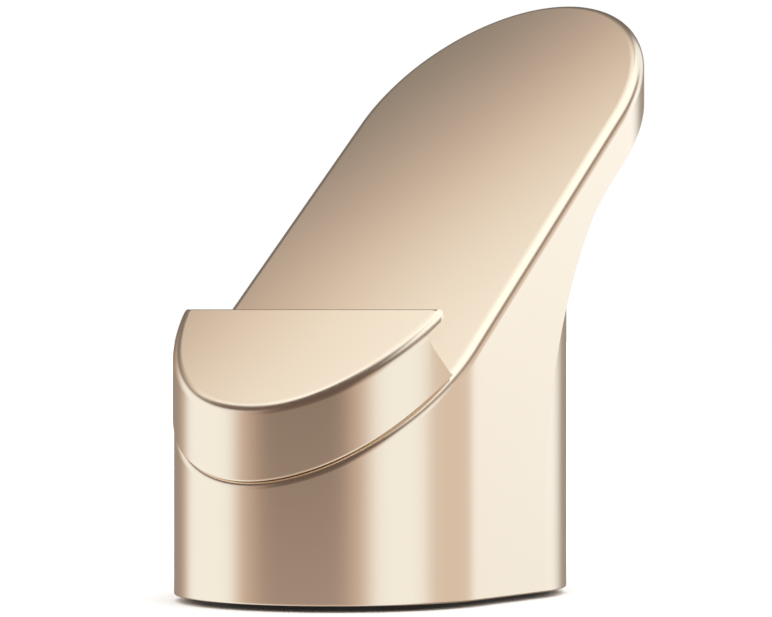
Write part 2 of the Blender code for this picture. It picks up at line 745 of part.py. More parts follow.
def crank_wheel(motor):
    wheel = put(rod("crank_wheel", 5 * MM, (0, 0, 8.4 * MM), (0, 0, 11.4 * MM), 32), motor)
    pin = rod("crank_pin", 1.2 * MM, (CRANK_THROW, 0, 4.1 * MM), (CRANK_THROW, 0, 9 * MM), 16)
    bore = rod("crank_bore", SHAFT_RADIUS + GAP, (0, 0, 9.3 * MM), (0, 0, 13 * MM), 20)
    shape(wheel, put(pin, motor), "UNION")
    shape(wheel, put(bore, motor))
    return finish(wheel, material("brass", (0.75, 0.6, 0.3), 1.0, 0.35))


def crank_bearing(motor):
    bearing = ring("crank_bearing", 1.5 * MM, 3 * MM, 4.6 * MM, 7.4 * MM, 24)
    bearing.data.transform(Matrix.Translation((CRANK_THROW, 0, 0)))
    return finish(put(bearing, motor), steel())


def armature(motor):
    core = put(rod("armature", 7.4 * MM, (0, 0, 18 * MM), (0, 0, 30 * MM), 24), motor)
    shape(core, put(rod("commutator", 2.6 * MM, (0, 0, 29 * MM), (0, 0, 33 * MM), 20), motor), "UNION")
    for index in range(3):
        low, high = (5 * MM, -0.8 * MM, 16 * MM), (9 * MM, 0.8 * MM, 32 * MM)
        slot_cutter = block(f"armature_slot_{index}", low, high)
        slot_cutter.data.transform(Matrix.Rotation(math.radians(120 * index), 4, "Z"))
        shape(core, put(slot_cutter, motor))
    shape(core, put(rod("armature_bore", SHAFT_RADIUS + GAP, (0, 0, 16 * MM), (0, 0, 35 * MM), 20), motor))
    return finish(core, material("copper", (0.7, 0.35, 0.2), 1.0, 0.4))


def motor_can(motor):
    outline = [(MOTOR_RADIUS, 33.5 * MM), (MOTOR_RADIUS, 16 * MM), (MOTOR_RADIUS - 0.6 * MM, 15.4 * MM),
               (1.6 * MM, 15.4 * MM), (1.6 * MM, 16.4 * MM), (9.4 * MM, 16.4 * MM), (9.4 * MM, 33.5 * MM)]
    return finish(put(turned("motor_can", outline, 28), motor), steel())


def motor_magnets(motor):
    for label, side in SIDES:
        magnet = put(ring(f"motor_magnet_{label}", 8 * MM, 9.1 * MM, 17.5 * MM, 31 * MM, 28), motor)
        low, high = sorted((side * 4 * MM, -side * 12 * MM))
        rest = block(f"magnet_cut_{label}", (low, -12 * MM, 15 * MM), (high, 12 * MM, 34 * MM))
        shape(magnet, put(rest, motor))
        finish(magnet, material("ferrite", (0.08, 0.08, 0.09), 0.4, 0.6))


def motor_sleeve(motor):
    return finish(put(ring("motor_sleeve", MOTOR_RADIUS + GAP, 11.4 * MM, 20 * MM, 30 * MM, 28), motor),
                  black_rubber())


# ---- Chassis, cell and board ---------------------------------------------------------------------------

def chassis(motor, cell):
    """Floor with a pump stand, a motor cradle, two cell saddles and two board rails."""
    frame = prism("chassis", stadium(22.9 * MM, FRONT_Y, BACK_Y), CHASSIS_FLOOR, CHASSIS_DECK)
    low = 5 * MM
    stand = block("pump_stand", (-7 * MM, FRONT_Y - 2 * MM, low), (7 * MM, FRONT_Y + 14 * MM, 7.5 * MM))
    cradle = block("motor_cradle", (-14 * MM, FRONT_Y + 19 * MM, low), (14 * MM, FRONT_Y + 31 * MM, 13 * MM))
    shape(frame, stand, "UNION")
    shape(frame, cradle, "UNION")
    for side in (-1, 1):
        inner, outer = 12.2 * MM * side, 14 * MM * side
        post = block(f"cell_post_{side}", (min(inner, outer), FRONT_Y + 11.5 * MM, low),
                     (max(inner, outer), FRONT_Y + 30.5 * MM, 41 * MM))
        shape(frame, post, "UNION")
        inner, outer = 11 * MM * side, 13.4 * MM * side
        rail = block(f"board_rail_{side}", (min(inner, outer), FRONT_Y + 34.6 * MM, low),
                     (max(inner, outer), FRONT_Y + 39 * MM, 20 * MM))
        shape(frame, rail, "UNION")
    shape(frame, put(rod("cradle_bore", 11.7 * MM, (0, 0, 14 * MM), (0, 0, 33 * MM), 36), motor))
    shape(frame, put(rod("saddle_bore", CELL_RADIUS + GAP, (0, 0, -20 * MM), (0, 0, 20 * MM), 28), cell))
    slot_low = (-BOARD_HALF_WIDTH - GAP, FRONT_Y + BOARD_U - GAP, CHASSIS_DECK + 0.1 * MM)
    slot_high = (BOARD_HALF_WIDTH + GAP, FRONT_Y + BOARD_U + BOARD_THICKNESS + GAP, 30 * MM)
    shape(frame, block("board_slot", slot_low, slot_high))
    for index, (x, y) in enumerate(boss_places()):
        shape(frame, rod(f"chassis_hole_{index}", 1.4 * MM, (x, y, 2 * MM), (x, y, 8 * MM), 16))
    return finish(frame, white_plastic())


def battery_cell(cell):
    end = CELL_HALF_LENGTH
    body = put(rod("battery_cell", CELL_RADIUS, (0, 0, -end), (0, 0, end), 28), cell)
    nub = rod("cell_nub", 2.6 * MM, (0, 0, end - 1 * MM), (0, 0, end + 0.8 * MM), 20)
    shape(body, put(nub, cell), "UNION")
    return finish(body, material("cell_wrap", (0.05, 0.2, 0.45), 0.0, 0.35))


def battery_straps(cell):
    """A half hoop over the cell on each saddle. Local -X is up in the cell's frame."""
    for label, side in SIDES:
        low, high = sorted((side * 12.4 * MM, side * 13.8 * MM))
        hoop = put(ring(f"battery_strap_{label}", CELL_RADIUS + GAP, 9.4 * MM, low, high, 28), cell)
        lower_half = block(f"strap_cut_{label}", (-0.2 * MM, -12 * MM, low - 2 * MM),
                           (12 * MM, 12 * MM, high + 2 * MM))
        shape(hoop, put(lower_half, cell))
        finish(hoop, white_plastic())


def board_chips():
    y = FRONT_Y + BOARD_U - GAP
    for name, x, z, half, depth in (("control_chip", 0, 40, 2.5, 1), ("charge_chip", 6, 55, 2, 1),
                                    ("boost_coil", -6, 55, 2.5, 2)):
        low = ((x - half) * MM, y - depth * MM, (z - half) * MM)
        chip = block(name, low, ((x + half) * MM, y, (z + half) * MM))
        finish(chip, dark_plastic(), smooth=False)


def circuit_board():
    board = block("circuit_board", (-BOARD_HALF_WIDTH, FRONT_Y + BOARD_U, CHASSIS_DECK + 0.4 * MM),
                  (BOARD_HALF_WIDTH, FRONT_Y + BOARD_U + BOARD_THICKNESS, BOARD_TOP))
    return finish(board, material("board_green", (0.03, 0.16, 0.08), 0.0, 0.5), smooth=False)


def leads():
    """Two wires from the cell's ends and one flat pair from the motor, all ending at the board."""
    board_face = FRONT_Y + BOARD_U - GAP
    reach = CELL_HALF_LENGTH + 1.5 * MM
    for label, side in SIDES:
        start = (side * reach, FRONT_Y + CELL_U, CELL_HEIGHT + 4 * MM * (side < 0))
        end = (side * 10 * MM, board_face, 50 * MM)
        wire = round_lead(f"battery_lead_{label}", 0.5 * MM, [(start, (side * 4 * MM, 6 * MM, 4 * MM)),
                                                              (end, (-side * 2 * MM, 5 * MM, 0))], 8)
        finish(wire, material("red_wire", (0.5, 0.03, 0.03), 0.0, 0.5))
    start = (4 * MM, FRONT_Y + 34.6 * MM, MOTOR_HEIGHT + 10.8 * MM)
    end = (4 * MM, board_face, 33 * MM)
    wire = round_lead("motor_lead", 0.6 * MM, [(start, (0, -0.4 * MM, 1.6 * MM)), (end, (0, 1.2 * MM, 0))], 6)
    finish(wire, material("black_wire", (0.03, 0.03, 0.03), 0.0, 0.5))


# ---- Controls, lights, charging and exhaust on the back ------------------------------------------------

def tact_switch(button):
    body = block("tact_switch", (-3 * MM, -3 * MM, 37.8 * MM), (3 * MM, 3 * MM, 40.3 * MM))
    put(body, button)
    shape(body, put(rod("plunger_well", 1.9 * MM, (0, 0, 38.4 * MM), (0, 0, 42 * MM), 20), button))
    return finish(body, dark_plastic())


def power_button(button):
    """Slightly crowned button with a flange behind the wall and a stem to the switch."""
    outline = [(0, 46.95 * MM), (3 * MM, 46.85 * MM), (4.7 * MM, 46.6 * MM), (BUTTON_RADIUS, 46.2 * MM),
               (BUTTON_RADIUS, 43 * MM), (6.4 * MM, 43 * MM), (6.4 * MM, 42 * MM), (1.6 * MM, 42 * MM),
               (1.6 * MM, 41.4 * MM), (0, 41.4 * MM)]
    return finish(put(turned("power_button", outline, 28), button), gold())


def light_guide():
    bar = block("light_guide", (-6 * MM, FRONT_Y + 41.6 * MM, LIGHT_HEIGHT - 1.6 * MM),
                (6 * MM, FRONT_Y + 43 * MM, LIGHT_HEIGHT + 1.6 * MM))
    for index in (-1, 0, 1):
        x = index * LIGHT_PITCH
        pin = rod(f"light_pin_{index}", 1 * MM, (x, FRONT_Y + 42.4 * MM, LIGHT_HEIGHT),
                  (x, FRONT_Y + 46.2 * MM, LIGHT_HEIGHT), 16)
        shape(bar, pin, "UNION")
    return finish(bar, material("light_diffuser", (0.9, 0.9, 0.88), 0.0, 0.3))


def status_light():
    """A strip of light chips on the board, behind the light guide's three pins."""
    strip = block("status_light", (-LIGHT_PITCH - 1 * MM, FRONT_Y + 37.8 * MM, LIGHT_HEIGHT - 0.7 * MM),
                  (LIGHT_PITCH + 1 * MM, FRONT_Y + 38.8 * MM, LIGHT_HEIGHT + 0.7 * MM))
    return finish(strip, material("light_chip", (0.9, 0.85, 0.6), 0.0, 0.3), smooth=False)


def usb_c_shell():
    shell = across_back("usb_c_shell", slot(1.6 * MM, 2.9 * MM, (0, USB_HEIGHT)), 38 * MM, 45.3 * MM)
    shape(shell, across_back("usb_hollow", slot(1.25 * MM, 2.9 * MM, (0, USB_HEIGHT)), 39 * MM, 47 * MM))
    return finish(shell, steel())


def usb_c_tongue():
    tongue = block("usb_c_tongue", (-3.3 * MM, FRONT_Y + 39.3 * MM, USB_HEIGHT - 0.35 * MM),
                   (3.3 * MM, FRONT_Y + 44.5 * MM, USB_HEIGHT + 0.35 * MM))
    return finish(tongue, dark_plastic(), smooth=False)


def exhaust_foam():
    low, high = (-9 * MM, FRONT_Y + 39.8 * MM, 17 * MM), (9 * MM, FRONT_Y + 41.8 * MM, 29 * MM)
    pad = block("exhaust_foam", low, high)
    return finish(pad, foam(), smooth=False)


# ---- Underside -----------------------------------------------------------------------------------------

def base_plate():
    plate = prism("base_plate", stadium(PLATE_RADIUS, FRONT_Y, BACK_Y), PLATE_LOW, PLATE_HIGH)
    for index, (x, y) in enumerate(boss_places()):
        shape(plate, rod(f"plate_hole_{index}", 1.4 * MM, (x, y, -1 * MM), (x, y, 6 * MM), 16))
        shape(plate, rod(f"plate_recess_{index}", 2.5 * MM, (x, y, -1 * MM), (x, y, 3 * MM), 20))
    return finish(plate, dark_plastic())


def base_screws():
    for index, place in enumerate(boss_places(), 1):
        outline = [(1.1 * MM, 13 * MM), (1.1 * MM, 2.7 * MM), (2.2 * MM, 2.7 * MM), (2.2 * MM, 1.8 * MM),
                   (0, 1.8 * MM), (0, 13 * MM)]
        screw = turned(f"base_screw_{index}", outline, 12)
        screw.data.transform(Matrix.Translation((*place, 0)))
        finish(screw, steel())


def foot_pad():
    pad = prism("foot_pad", stadium(FOOT_RADIUS, FRONT_Y, BACK_Y), 0, PLATE_LOW - GAP)
    return finish(pad, black_rubber())


# ---- Whole object --------------------------------------------------------------------------------------

def main():
    start_scene()
    quarter = math.radians(90)
    nozzle_y, nozzle_z = on_slope(NOZZLE_ALONG, 0)
    nozzle = empty("nozzle_axis", (0, nozzle_y, nozzle_z), (SLOPE, 0, 0))
    motor = empty("motor_axis", (0, FRONT_Y, MOTOR_HEIGHT), (-quarter, 0, 0))
    cell = empty("cell_axis", (0, FRONT_Y + CELL_U, CELL_HEIGHT), (0, quarter, 0))
    button = empty("button_axis", (0, FRONT_Y, BUTTON_HEIGHT), (-quarter, 0, 0))

    body_shell(nozzle)
    nozzle_cap(nozzle)
    cap_discs("cap_magnet", 0.5 * MM, 2 * MM, nozzle)
    cap_discs("cap_keeper", -1.2 * MM, -0.1 * MM, nozzle)

    nozzle_housing(nozzle)
    nozzle_screws(nozzle)
    finish(put(ring("tip_seal", 7 * MM, 8.4 * MM, 1.8 * MM, 2.3 * MM, 28), nozzle), silicone())
    suction_tip(nozzle)
    sponge = rod("filter_sponge", SOCKET_BORE - GAP, (0, 0, -4.5 * MM), (0, 0, -2.4 * MM), 28)
    finish(put(sponge, nozzle), foam())
    filter_grid(nozzle)
    suction_tube()

    pump_housing()
    diaphragm()
    slide = connecting_rod()[1]
    diaphragm_washer(slide)
    valve_plate()
    valve_flaps()
    pump_head()
    pump_screws()

    crank_wheel(motor)
    crank_bearing(motor)
    finish(put(rod("motor_shaft", SHAFT_RADIUS, (0, 0, 9.6 * MM), (0, 0, 34.6 * MM), 20), motor), steel())
    armature(motor)
    motor_can(motor)
    motor_magnets(motor)
    finish(put(ring("motor_end_cap", 1.5 * MM, 9.9 * MM, 33.8 * MM, 35.4 * MM, 32), motor), dark_plastic())
    motor_sleeve(motor)

    chassis(motor, cell)
    battery_cell(cell)
    battery_straps(cell)
    circuit_board()
    board_chips()
    leads()

    tact_switch(button)
    plunger = rod("switch_plunger", 1.6 * MM, (0, 0, 39.3 * MM), (0, 0, 41.1 * MM), 20)
    finish(put(plunger, button), white_plastic())
    power_button(button)
    light_guide()
    status_light()
    usb_c_shell()
    usb_c_tongue()
    exhaust_foam()

    base_plate()
    base_screws()
    foot_pad()
    bpy.context.view_layer.update()


main()
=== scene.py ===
"""Looks of the palm-held pore vacuum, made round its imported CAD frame, which stays as it is.

Frame: +Z up, X across, the tongue leans towards +Y, metres. A place on the sloping face is given "along" the
slope, towards the tongue, and "out" of it, square to the face. A depth "u" runs along +Y from the centre of
the front round end.
"""
import json
import math

import bmesh
import bpy
from mathutils import Matrix, Vector
from mathutils import noise as noise_tools


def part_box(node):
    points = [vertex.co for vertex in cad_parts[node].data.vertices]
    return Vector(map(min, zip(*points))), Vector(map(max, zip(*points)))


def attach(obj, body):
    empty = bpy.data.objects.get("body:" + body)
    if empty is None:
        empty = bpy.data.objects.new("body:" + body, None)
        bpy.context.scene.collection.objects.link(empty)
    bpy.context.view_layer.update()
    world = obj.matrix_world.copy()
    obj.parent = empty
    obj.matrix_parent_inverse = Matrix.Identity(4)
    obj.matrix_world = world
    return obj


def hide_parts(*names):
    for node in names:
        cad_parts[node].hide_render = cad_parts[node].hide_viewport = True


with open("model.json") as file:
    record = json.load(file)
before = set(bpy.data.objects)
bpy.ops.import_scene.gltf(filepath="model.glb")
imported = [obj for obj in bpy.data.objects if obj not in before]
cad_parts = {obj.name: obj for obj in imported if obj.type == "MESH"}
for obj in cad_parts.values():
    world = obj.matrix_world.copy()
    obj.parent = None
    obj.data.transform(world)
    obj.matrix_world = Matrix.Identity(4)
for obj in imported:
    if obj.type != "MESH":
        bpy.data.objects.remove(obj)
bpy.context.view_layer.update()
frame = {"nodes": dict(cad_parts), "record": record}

MM = 0.001

# Outer form, from the frame where a node's box says it
SHELL_LOW, SHELL_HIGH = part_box("body_shell")
RADIUS = (SHELL_HIGH.x - SHELL_LOW.x) / 2
FRONT_Y = SHELL_LOW.y + RADIUS
TIP_Y = SHELL_HIGH.y - RADIUS
PLATE_LOW, PLATE_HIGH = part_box("base_plate")
BACK_Y = PLATE_HIGH.y - (PLATE_HIGH.x - PLATE_LOW.x) / 2
FOOT_HEIGHT = SHELL_LOW.z
SLOPE = math.radians(39.65)
FACE_HEIGHT = 40.95 * MM            # of the sloping face over the front end's centre
TONGUE_DROP = 8.87 * MM             # the tongue's thickness, straight down
WALL = 1.8 * MM
RIM = 1.85 * MM                     # radius of the rounding round the face
FOOT_EDGE = 0.3 * MM
FOOT_ROUND = 0.35 * MM

# Neck, one curve in side view
NECK_START_HEIGHT = 12.6 * MM
NECK_START_HANDLE = 24.84 * MM
NECK_END_U = 39.69 * MM
NECK_END_HANDLE = 10.46 * MM

# Cap
CAP_PROUD = 0.2 * MM
CAP_WALL = 1.5 * MM
CAP_LIFT = 0.11 * MM
CAP_TOP = 9.05 * MM
CAP_RIM = 2.4 * MM
CAP_EDGE = 0.32 * MM
LEDGE_ALONG = -8.08 * MM
LIP_TIP_ALONG = -2.6 * MM
LIP_THICKNESS = 1.1 * MM
LIP_CORNER = 0.8 * MM
LIP_NOSE = 0.5 * MM                 # rounding of the lip's upper edge, the ridge
LIP_UNDER = 0.25 * MM
LIP_END = 0.7 * MM                  # rounding of the lip's two ends in plan
LEDGE_EDGE = 0.34 * MM

# Nozzle axis and what stands on it
NOZZLE_ALONG = -20.5 * MM
SOCKET_RADIUS = 7.4 * MM
SCREW_SIDE = 11.4 * MM
WAY_RADIUS = 1.3 * MM               # of the ways for screws and light pins
MAGNET_SIDE = 16 * MM
MAGNET_ALONG = -11.8 * MM
MAGNET_RADIUS = 2 * MM
GAP = 0.3 * MM

# Back of the base
BUTTON_HEIGHT = 46 * MM
BUTTON_RADIUS = 5.2 * MM
LIGHT_HEIGHT = 36 * MM
LIGHT_PITCH = 4 * MM
VENT_HEIGHT = 23 * MM
VENT_PITCH = 3 * MM
USB_HEIGHT = 11 * MM

ARC_STEPS = 72                      # columns round half a turn of the outline
ROUND_STEPS = 10                    # rows across a rounded edge
RISE = math.tan(SLOPE)
REACH = 0.2                         # a cutter's length, well past the object
FAR = 0.08                          # past the tongue's tip
FLAT = Matrix.Identity(4)
SIDES = (("left", -1), ("right", 1))


# ---- Places ----

def face_height(y, depth=0.0):
    return FACE_HEIGHT + (y - FRONT_Y) * RISE - depth / math.cos(SLOPE)


def on_slope(along, out):
    """The (y, z) of a place on the slope."""
    return (FRONT_Y + along * math.cos(SLOPE) - out * math.sin(SLOPE),
            FACE_HEIGHT + along * math.sin(SLOPE) + out * math.cos(SLOPE))


def out_of_face(point):
    return (point.z - FACE_HEIGHT) * math.cos(SLOPE) - (point.y - FRONT_Y) * math.sin(SLOPE)


def along_face(point):
    return (point.z - FACE_HEIGHT) * math.sin(SLOPE) + (point.y - FRONT_Y) * math.cos(SLOPE)


def nozzle_frame():
    """Local Z out of the face on the nozzle's axis, local Y up the slope."""
    y, z = on_slope(NOZZLE_ALONG, 0)
    return Matrix.Translation((0, y, z)) @ Matrix.Rotation(SLOPE, 4, "X")


def nozzle_place(x):
    return nozzle_frame() @ Matrix.Translation((x, 0, 0))


def magnet_place(side):
    return nozzle_frame() @ Matrix.Translation((side * MAGNET_SIDE, MAGNET_ALONG - NOZZLE_ALONG, 0))


def back_frame(height):
    """Local Z along +Y from the front end's centre, local Y down."""
    return Matrix.Translation((0, FRONT_Y, height)) @ Matrix.Rotation(math.radians(-90), 4, "X")


def neck_points(wall, steps):
    """The line under the neck in side view, from the base's flank to the tongue's underside."""
    cos, sin = math.cos(SLOPE), math.sin(SLOPE)
    end_y = FRONT_Y + NECK_END_U
    end_z = face_height(end_y) - TONGUE_DROP
    corners = ((BACK_Y, NECK_START_HEIGHT), (BACK_Y, NECK_START_HEIGHT + NECK_START_HANDLE),
               (end_y - cos * NECK_END_HANDLE, end_z - sin * NECK_END_HANDLE), (end_y, end_z))
    a, b, c, d = (Vector(corner) for corner in corners)
    line = []
    for i in range(steps + 1):
        t = i / steps
        place = (1 - t) ** 3 * a + 3 * (1 - t) ** 2 * t * b + 3 * (1 - t) * t ** 2 * c + t ** 3 * d
        heading = (1 - t) ** 2 * (b - a) + 2 * (1 - t) * t * (c - b) + t ** 2 * (d - c)
        heading.normalize()
        line.append(Vector((place.x - heading.y * wall, place.y + heading.x * wall)))
    return line


class Underside:
    """The side-view line of neck and tongue underside, read by its y or by its length."""

    def __init__(self, wall=0.0, steps=240):
        self.line = neck_points(wall, steps)
        end = self.line[-1]
        self.line.append(Vector((end.x + FAR, end.y + FAR * RISE)))
        self.lengths = [0.0]
        for before, after in zip(self.line, self.line[1:]):
            self.lengths.append(self.lengths[-1] + (after - before).length)

    def stretch(self, keys, value):
        """The number of the stretch that a value falls in, and its share along it."""
        for i in range(1, len(keys)):
            if keys[i] >= value:
                return i, (value - keys[i - 1]) / (keys[i] - keys[i - 1])
        return len(keys) - 1, 1

    def length_at(self, y):
        i, share = self.stretch([p.x for p in self.line], y)
        return self.lengths[i - 1] + share * (self.lengths[i] - self.lengths[i - 1])

    def at(self, length):
        i, share = self.stretch(self.lengths, length)
        return self.line[i - 1].lerp(self.line[i], share)

    def height(self, y):
        return self.at(self.length_at(y)).y


# ---- Mesh helpers ----

def link(name, mesh):
    obj = bpy.data.objects.new(name, mesh)
    bpy.context.scene.collection.objects.link(obj)
    return obj


def from_faces(name, faces):
    """An object from faces given as lists of points; points that meet are welded."""
    work = bmesh.new()
    for corners in faces:
        verts = [work.verts.new(c) for c in corners]
        work.faces.new(verts)
    bmesh.ops.remove_doubles(work, verts=work.verts, dist=2e-7)
    bmesh.ops.dissolve_degenerate(work, edges=work.edges, dist=1e-7)
    bmesh.ops.recalc_face_normals(work, faces=work.faces)
    mesh = bpy.data.meshes.new(name)
    work.to_mesh(mesh)
    work.free()
    return link(name, mesh)


def ribbon(first, second):
    """Quads between two lines of points of the same count."""
    return [[first[i], first[i + 1], second[i + 1], second[i]] for i in range(len(first) - 1)]


def turned(name, profile, place, steps=96):
    """A closed (radius, height) profile turned about local Z; round corners come from the profile."""
    rings = []
    for i in range(steps):
        a = 2 * math.pi * i / steps
        rings.append([place @ Vector((r * math.cos(a), r * math.sin(a), h)) for r, h in profile])
    faces = []
    count = len(profile)
    for i in range(steps):
        here, after = rings[i], rings[(i + 1) % steps]
        for j in range(count):
            k = (j + 1) % count
            corners = [here[j], here[k], after[k], after[j]]
            kept = [c for n, c in enumerate(corners) if (c - corners[n - 1]).length > 1e-8]
            if len(kept) > 2:
                faces.append(kept)
    return from_faces(name, faces)


def rounded(points, radius, steps=5):
    """A (radius, height) outline with each corner off the axis rounded."""
    out = []
    count = len(points)
    for i, corner in enumerate(points):
        before, after = Vector(points[i - 1]), Vector(points[(i + 1) % count])
        here = Vector(corner)
        if here.x < 1e-9 or radius <= 0:
            out.append(tuple(here))
            continue
        back, forth = before - here, after - here
        reach = min(radius, back.length * 0.45, forth.length * 0.45)
        back.normalize()
        forth.normalize()
        for j in range(steps + 1):
            t = math.radians(90 * j / steps)
            p = here + back * reach * (1 - math.sin(t)) + forth * reach * (1 - math.cos(t))
            out.append(tuple(p))
    return out


def arc_points(centre, radius, first, last, steps):
    angles = [math.radians(first + (last - first) * i / steps) for i in range(steps + 1)]
    return [(centre[0] + radius * math.cos(a), centre[1] + radius * math.sin(a)) for a in angles]


def prism(name, outline, low, high, place):
    """A flat (x, y) outline extruded along local Z."""
    lower = [place @ Vector((x, y, low)) for x, y in outline]
    upper = [place @ Vector((x, y, high)) for x, y in outline]
    faces = [list(reversed(lower)), upper]
    faces += ribbon(lower + lower[:1], upper + upper[:1])
    return from_faces(name, faces)


def cylinder(name, radius, low, high, place, steps=64):
    outline = arc_points((0, 0), radius, 0, 360, steps)[:-1]
    return prism(name, outline, low, high, place)


def stadium(radius, back_y=BACK_Y, back_steps=48, front_steps=48):
    """The base's outline in plan, or the tongue's where back_y is its tip."""
    return (arc_points((0, back_y), radius, 0, 180, back_steps)
            + arc_points((0, FRONT_Y), radius, 180, 360, front_steps))


def column(a, y, radius=RADIUS):
    """Place and outward direction at an angle round one of the outline's ends."""
    return radius * math.cos(a), y + radius * math.sin(a), (math.cos(a), math.sin(a))


def slot_outline(radius, half_length, steps=16):
    return (arc_points((half_length, 0), radius, -90, 90, steps)
            + arc_points((-half_length, 0), radius, 90, 270, steps))


def side_prism(name, outline, reach=REACH):
    """A (y, z) outline in side view, extruded across X."""
    left = [Vector((-reach, y, z)) for y, z in outline]
    right = [Vector((reach, y, z)) for y, z in outline]
    return from_faces(name, [left, list(reversed(right))] + ribbon(left + left[:1], right + right[:1]))


def joined(name, parts):
    """Separate bodies in one mesh, to be used as one cutter."""
    work = bmesh.new()
    for part in parts:
        work.from_mesh(part.data)
        bpy.data.objects.remove(part, do_unlink=True)
    mesh = bpy.data.meshes.new(name)
    work.to_mesh(mesh)
    work.free()
    return link(name, mesh)


def carve(obj, tool, operation="DIFFERENCE"):
    """Apply a Boolean and drop the tool."""
    step = obj.modifiers.new("carve", "BOOLEAN")
    step.operation = operation
    step.solver = "EXACT"
    step.object = tool
    apply_modifiers(obj)
    bpy.data.objects.remove(tool, do_unlink=True)
    return obj


def apply_modifiers(obj):
    graph = bpy.context.evaluated_depsgraph_get()
    mesh = bpy.data.meshes.new_from_object(obj.evaluated_get(graph))
    obj.modifiers.clear()
    obj.data = mesh


def soften(obj, chosen, width, segments, clamp=True):
    """Round the edges that chosen(edge) picks."""
    work = bmesh.new()
    work.from_mesh(obj.data)
    bmesh.ops.remove_doubles(work, verts=work.verts, dist=1e-7)
    edges = [e for e in work.edges if len(e.link_faces) == 2 and chosen(e)]
    bmesh.ops.bevel(work, geom=edges, offset=width, offset_type="OFFSET", segments=segments, profile=0.5,
                    affect="EDGES", clamp_overlap=clamp)
    work.to_mesh(obj.data)
    work.free()
    return obj


def dress(obj, slot_name, replaced, body="housing", sharp=32):
    """Smooth shading, the slot's material, and the piece's place in the frame."""
    obj.data.materials.clear()
    obj.data.materials.append(MADE[slot_name])
    obj.data.shade_smooth()
    obj.data.set_sharp_from_angle(angle=math.radians(sharp))
    normals = obj.modifiers.new("even_normals", "WEIGHTED_NORMAL")
    normals.mode = "FACE_AREA"
    normals.weight = 50
    normals.keep_sharp = True
    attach(obj, body)
    if replaced:
        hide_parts(*replaced)


# ---- Body ----

def rim_section(x, y, normal, radius, depth, below=False):
    """Points round a rolling-ball rim at one column of the outline, from the flat face to the wall.

    The ball touches the vertical wall and the plane that lies a depth under the sloping face, from inside the
    solid: under that plane, or over it where the solid is above.
    """
    side = -1 if below else 1
    wall = Vector((*normal, 0))
    face = Vector((0, -math.sin(SLOPE), math.cos(SLOPE))) * side
    centre = Vector((x, y, 0)) - wall * radius
    centre.z = face_height(centre.y, depth) - side * radius / math.cos(SLOPE)
    angle = face.angle(wall)
    points = []
    for j in range(ROUND_STEPS + 1):
        t = j / ROUND_STEPS
        heading = (face * math.sin((1 - t) * angle) + wall * math.sin(t * angle)) / math.sin(angle)
        points.append(centre + heading * radius)
    return points


def tip_angles():
    """Angles round the tip, closer where the neck line starts its climb."""
    climb = 28
    line = neck_points(0, climb)
    first = [math.asin(min(1, (p.x - BACK_Y) / RADIUS)) for p in line]
    quarter = math.pi / 2
    rest = 22
    first += [first[-1] + (quarter - first[-1]) * i / rest for i in range(1, rest + 1)]
    return first + [math.pi - a for a in reversed(first[:-1])]


def body_solid(name):
    """The outer form as one closed solid: face, rounded rim, walls, underside, base and its lower edge."""
    under = Underside()
    angles = tip_angles()
    rows = 40
    first, last = under.length_at(BACK_Y), under.length_at(TIP_Y)
    right_line = [under.at(first + (last - first) * j / rows) for j in range(rows + 1)]
    side_ys = [BACK_Y + (FRONT_Y - BACK_Y) * i / 12 for i in range(13)]

    rear = [(RADIUS, p.x, (1, 0)) for p in right_line]
    rear += [column(a, TIP_Y) for a in angles[1:-1]]
    rear += [(-RADIUS, p.x, (-1, 0)) for p in reversed(right_line)]
    front = [(-RADIUS, y, (-1, 0)) for y in side_ys]
    front += [column(math.pi * (1 + i / ARC_STEPS), FRONT_Y) for i in range(1, ARC_STEPS)]
    front += [(RADIUS, y, (1, 0)) for y in reversed(side_ys)]

    faces = []
    for columns, is_rear in ((rear, True), (front, False)):
        sections = [rim_section(x, y, n, RIM, 0) for x, y, n in columns]
        for here, after in zip(sections, sections[1:]):
            faces += ribbon(here, after)
        top = [s[-1] for s in sections]
        if is_rear:
            low = [Vector((x, y, under.height(y))) for x, y, n in columns]
            faces += ribbon(top, low)
        else:
            middle = [Vector((x, y, NECK_START_HEIGHT)) for x, y, n in columns]
            faces += ribbon(top, middle)
            faces += lower_wall(middle, columns)
    rim_line = [rim_section(x, y, n, RIM, 0)[0] for x, y, n in rear[:-1] + front[:-1]]
    faces.append(rim_line)

    # the underside, from the base's back to the tip
    grid = []
    for a in angles:
        x, y = RADIUS * math.cos(a), BACK_Y + RADIUS * math.sin(a)
        first, last = under.length_at(y), under.length_at(y + TIP_Y - BACK_Y)
        line = [under.at(first + (last - first) * j / rows) for j in range(rows + 1)]
        grid.append([Vector((x, p.x, p.y)) for p in line])
    for here, after in zip(grid, grid[1:]):
        faces += ribbon(here, after)

    # the back of the base
    back = [column(a, BACK_Y) for a in angles]
    top = [line[0] for line in grid]
    step_up = [Vector((x, y, NECK_START_HEIGHT)) for x, y, n in back]
    faces += ribbon(top, step_up)
    faces += lower_wall(step_up, back)
    faces.append([Vector((x - n[0] * FOOT_EDGE, y - n[1] * FOOT_EDGE, FOOT_HEIGHT))
                  for x, y, n in back[:-1] + front[:-1]])
    clean = [f for f in (tidy_face(f) for f in faces) if f]
    return from_faces(name, clean)


def tidy_face(corners):
    kept = [c for n, c in enumerate(corners) if (c - corners[n - 1]).length > 3e-7]
    return kept if len(kept) > 2 else None


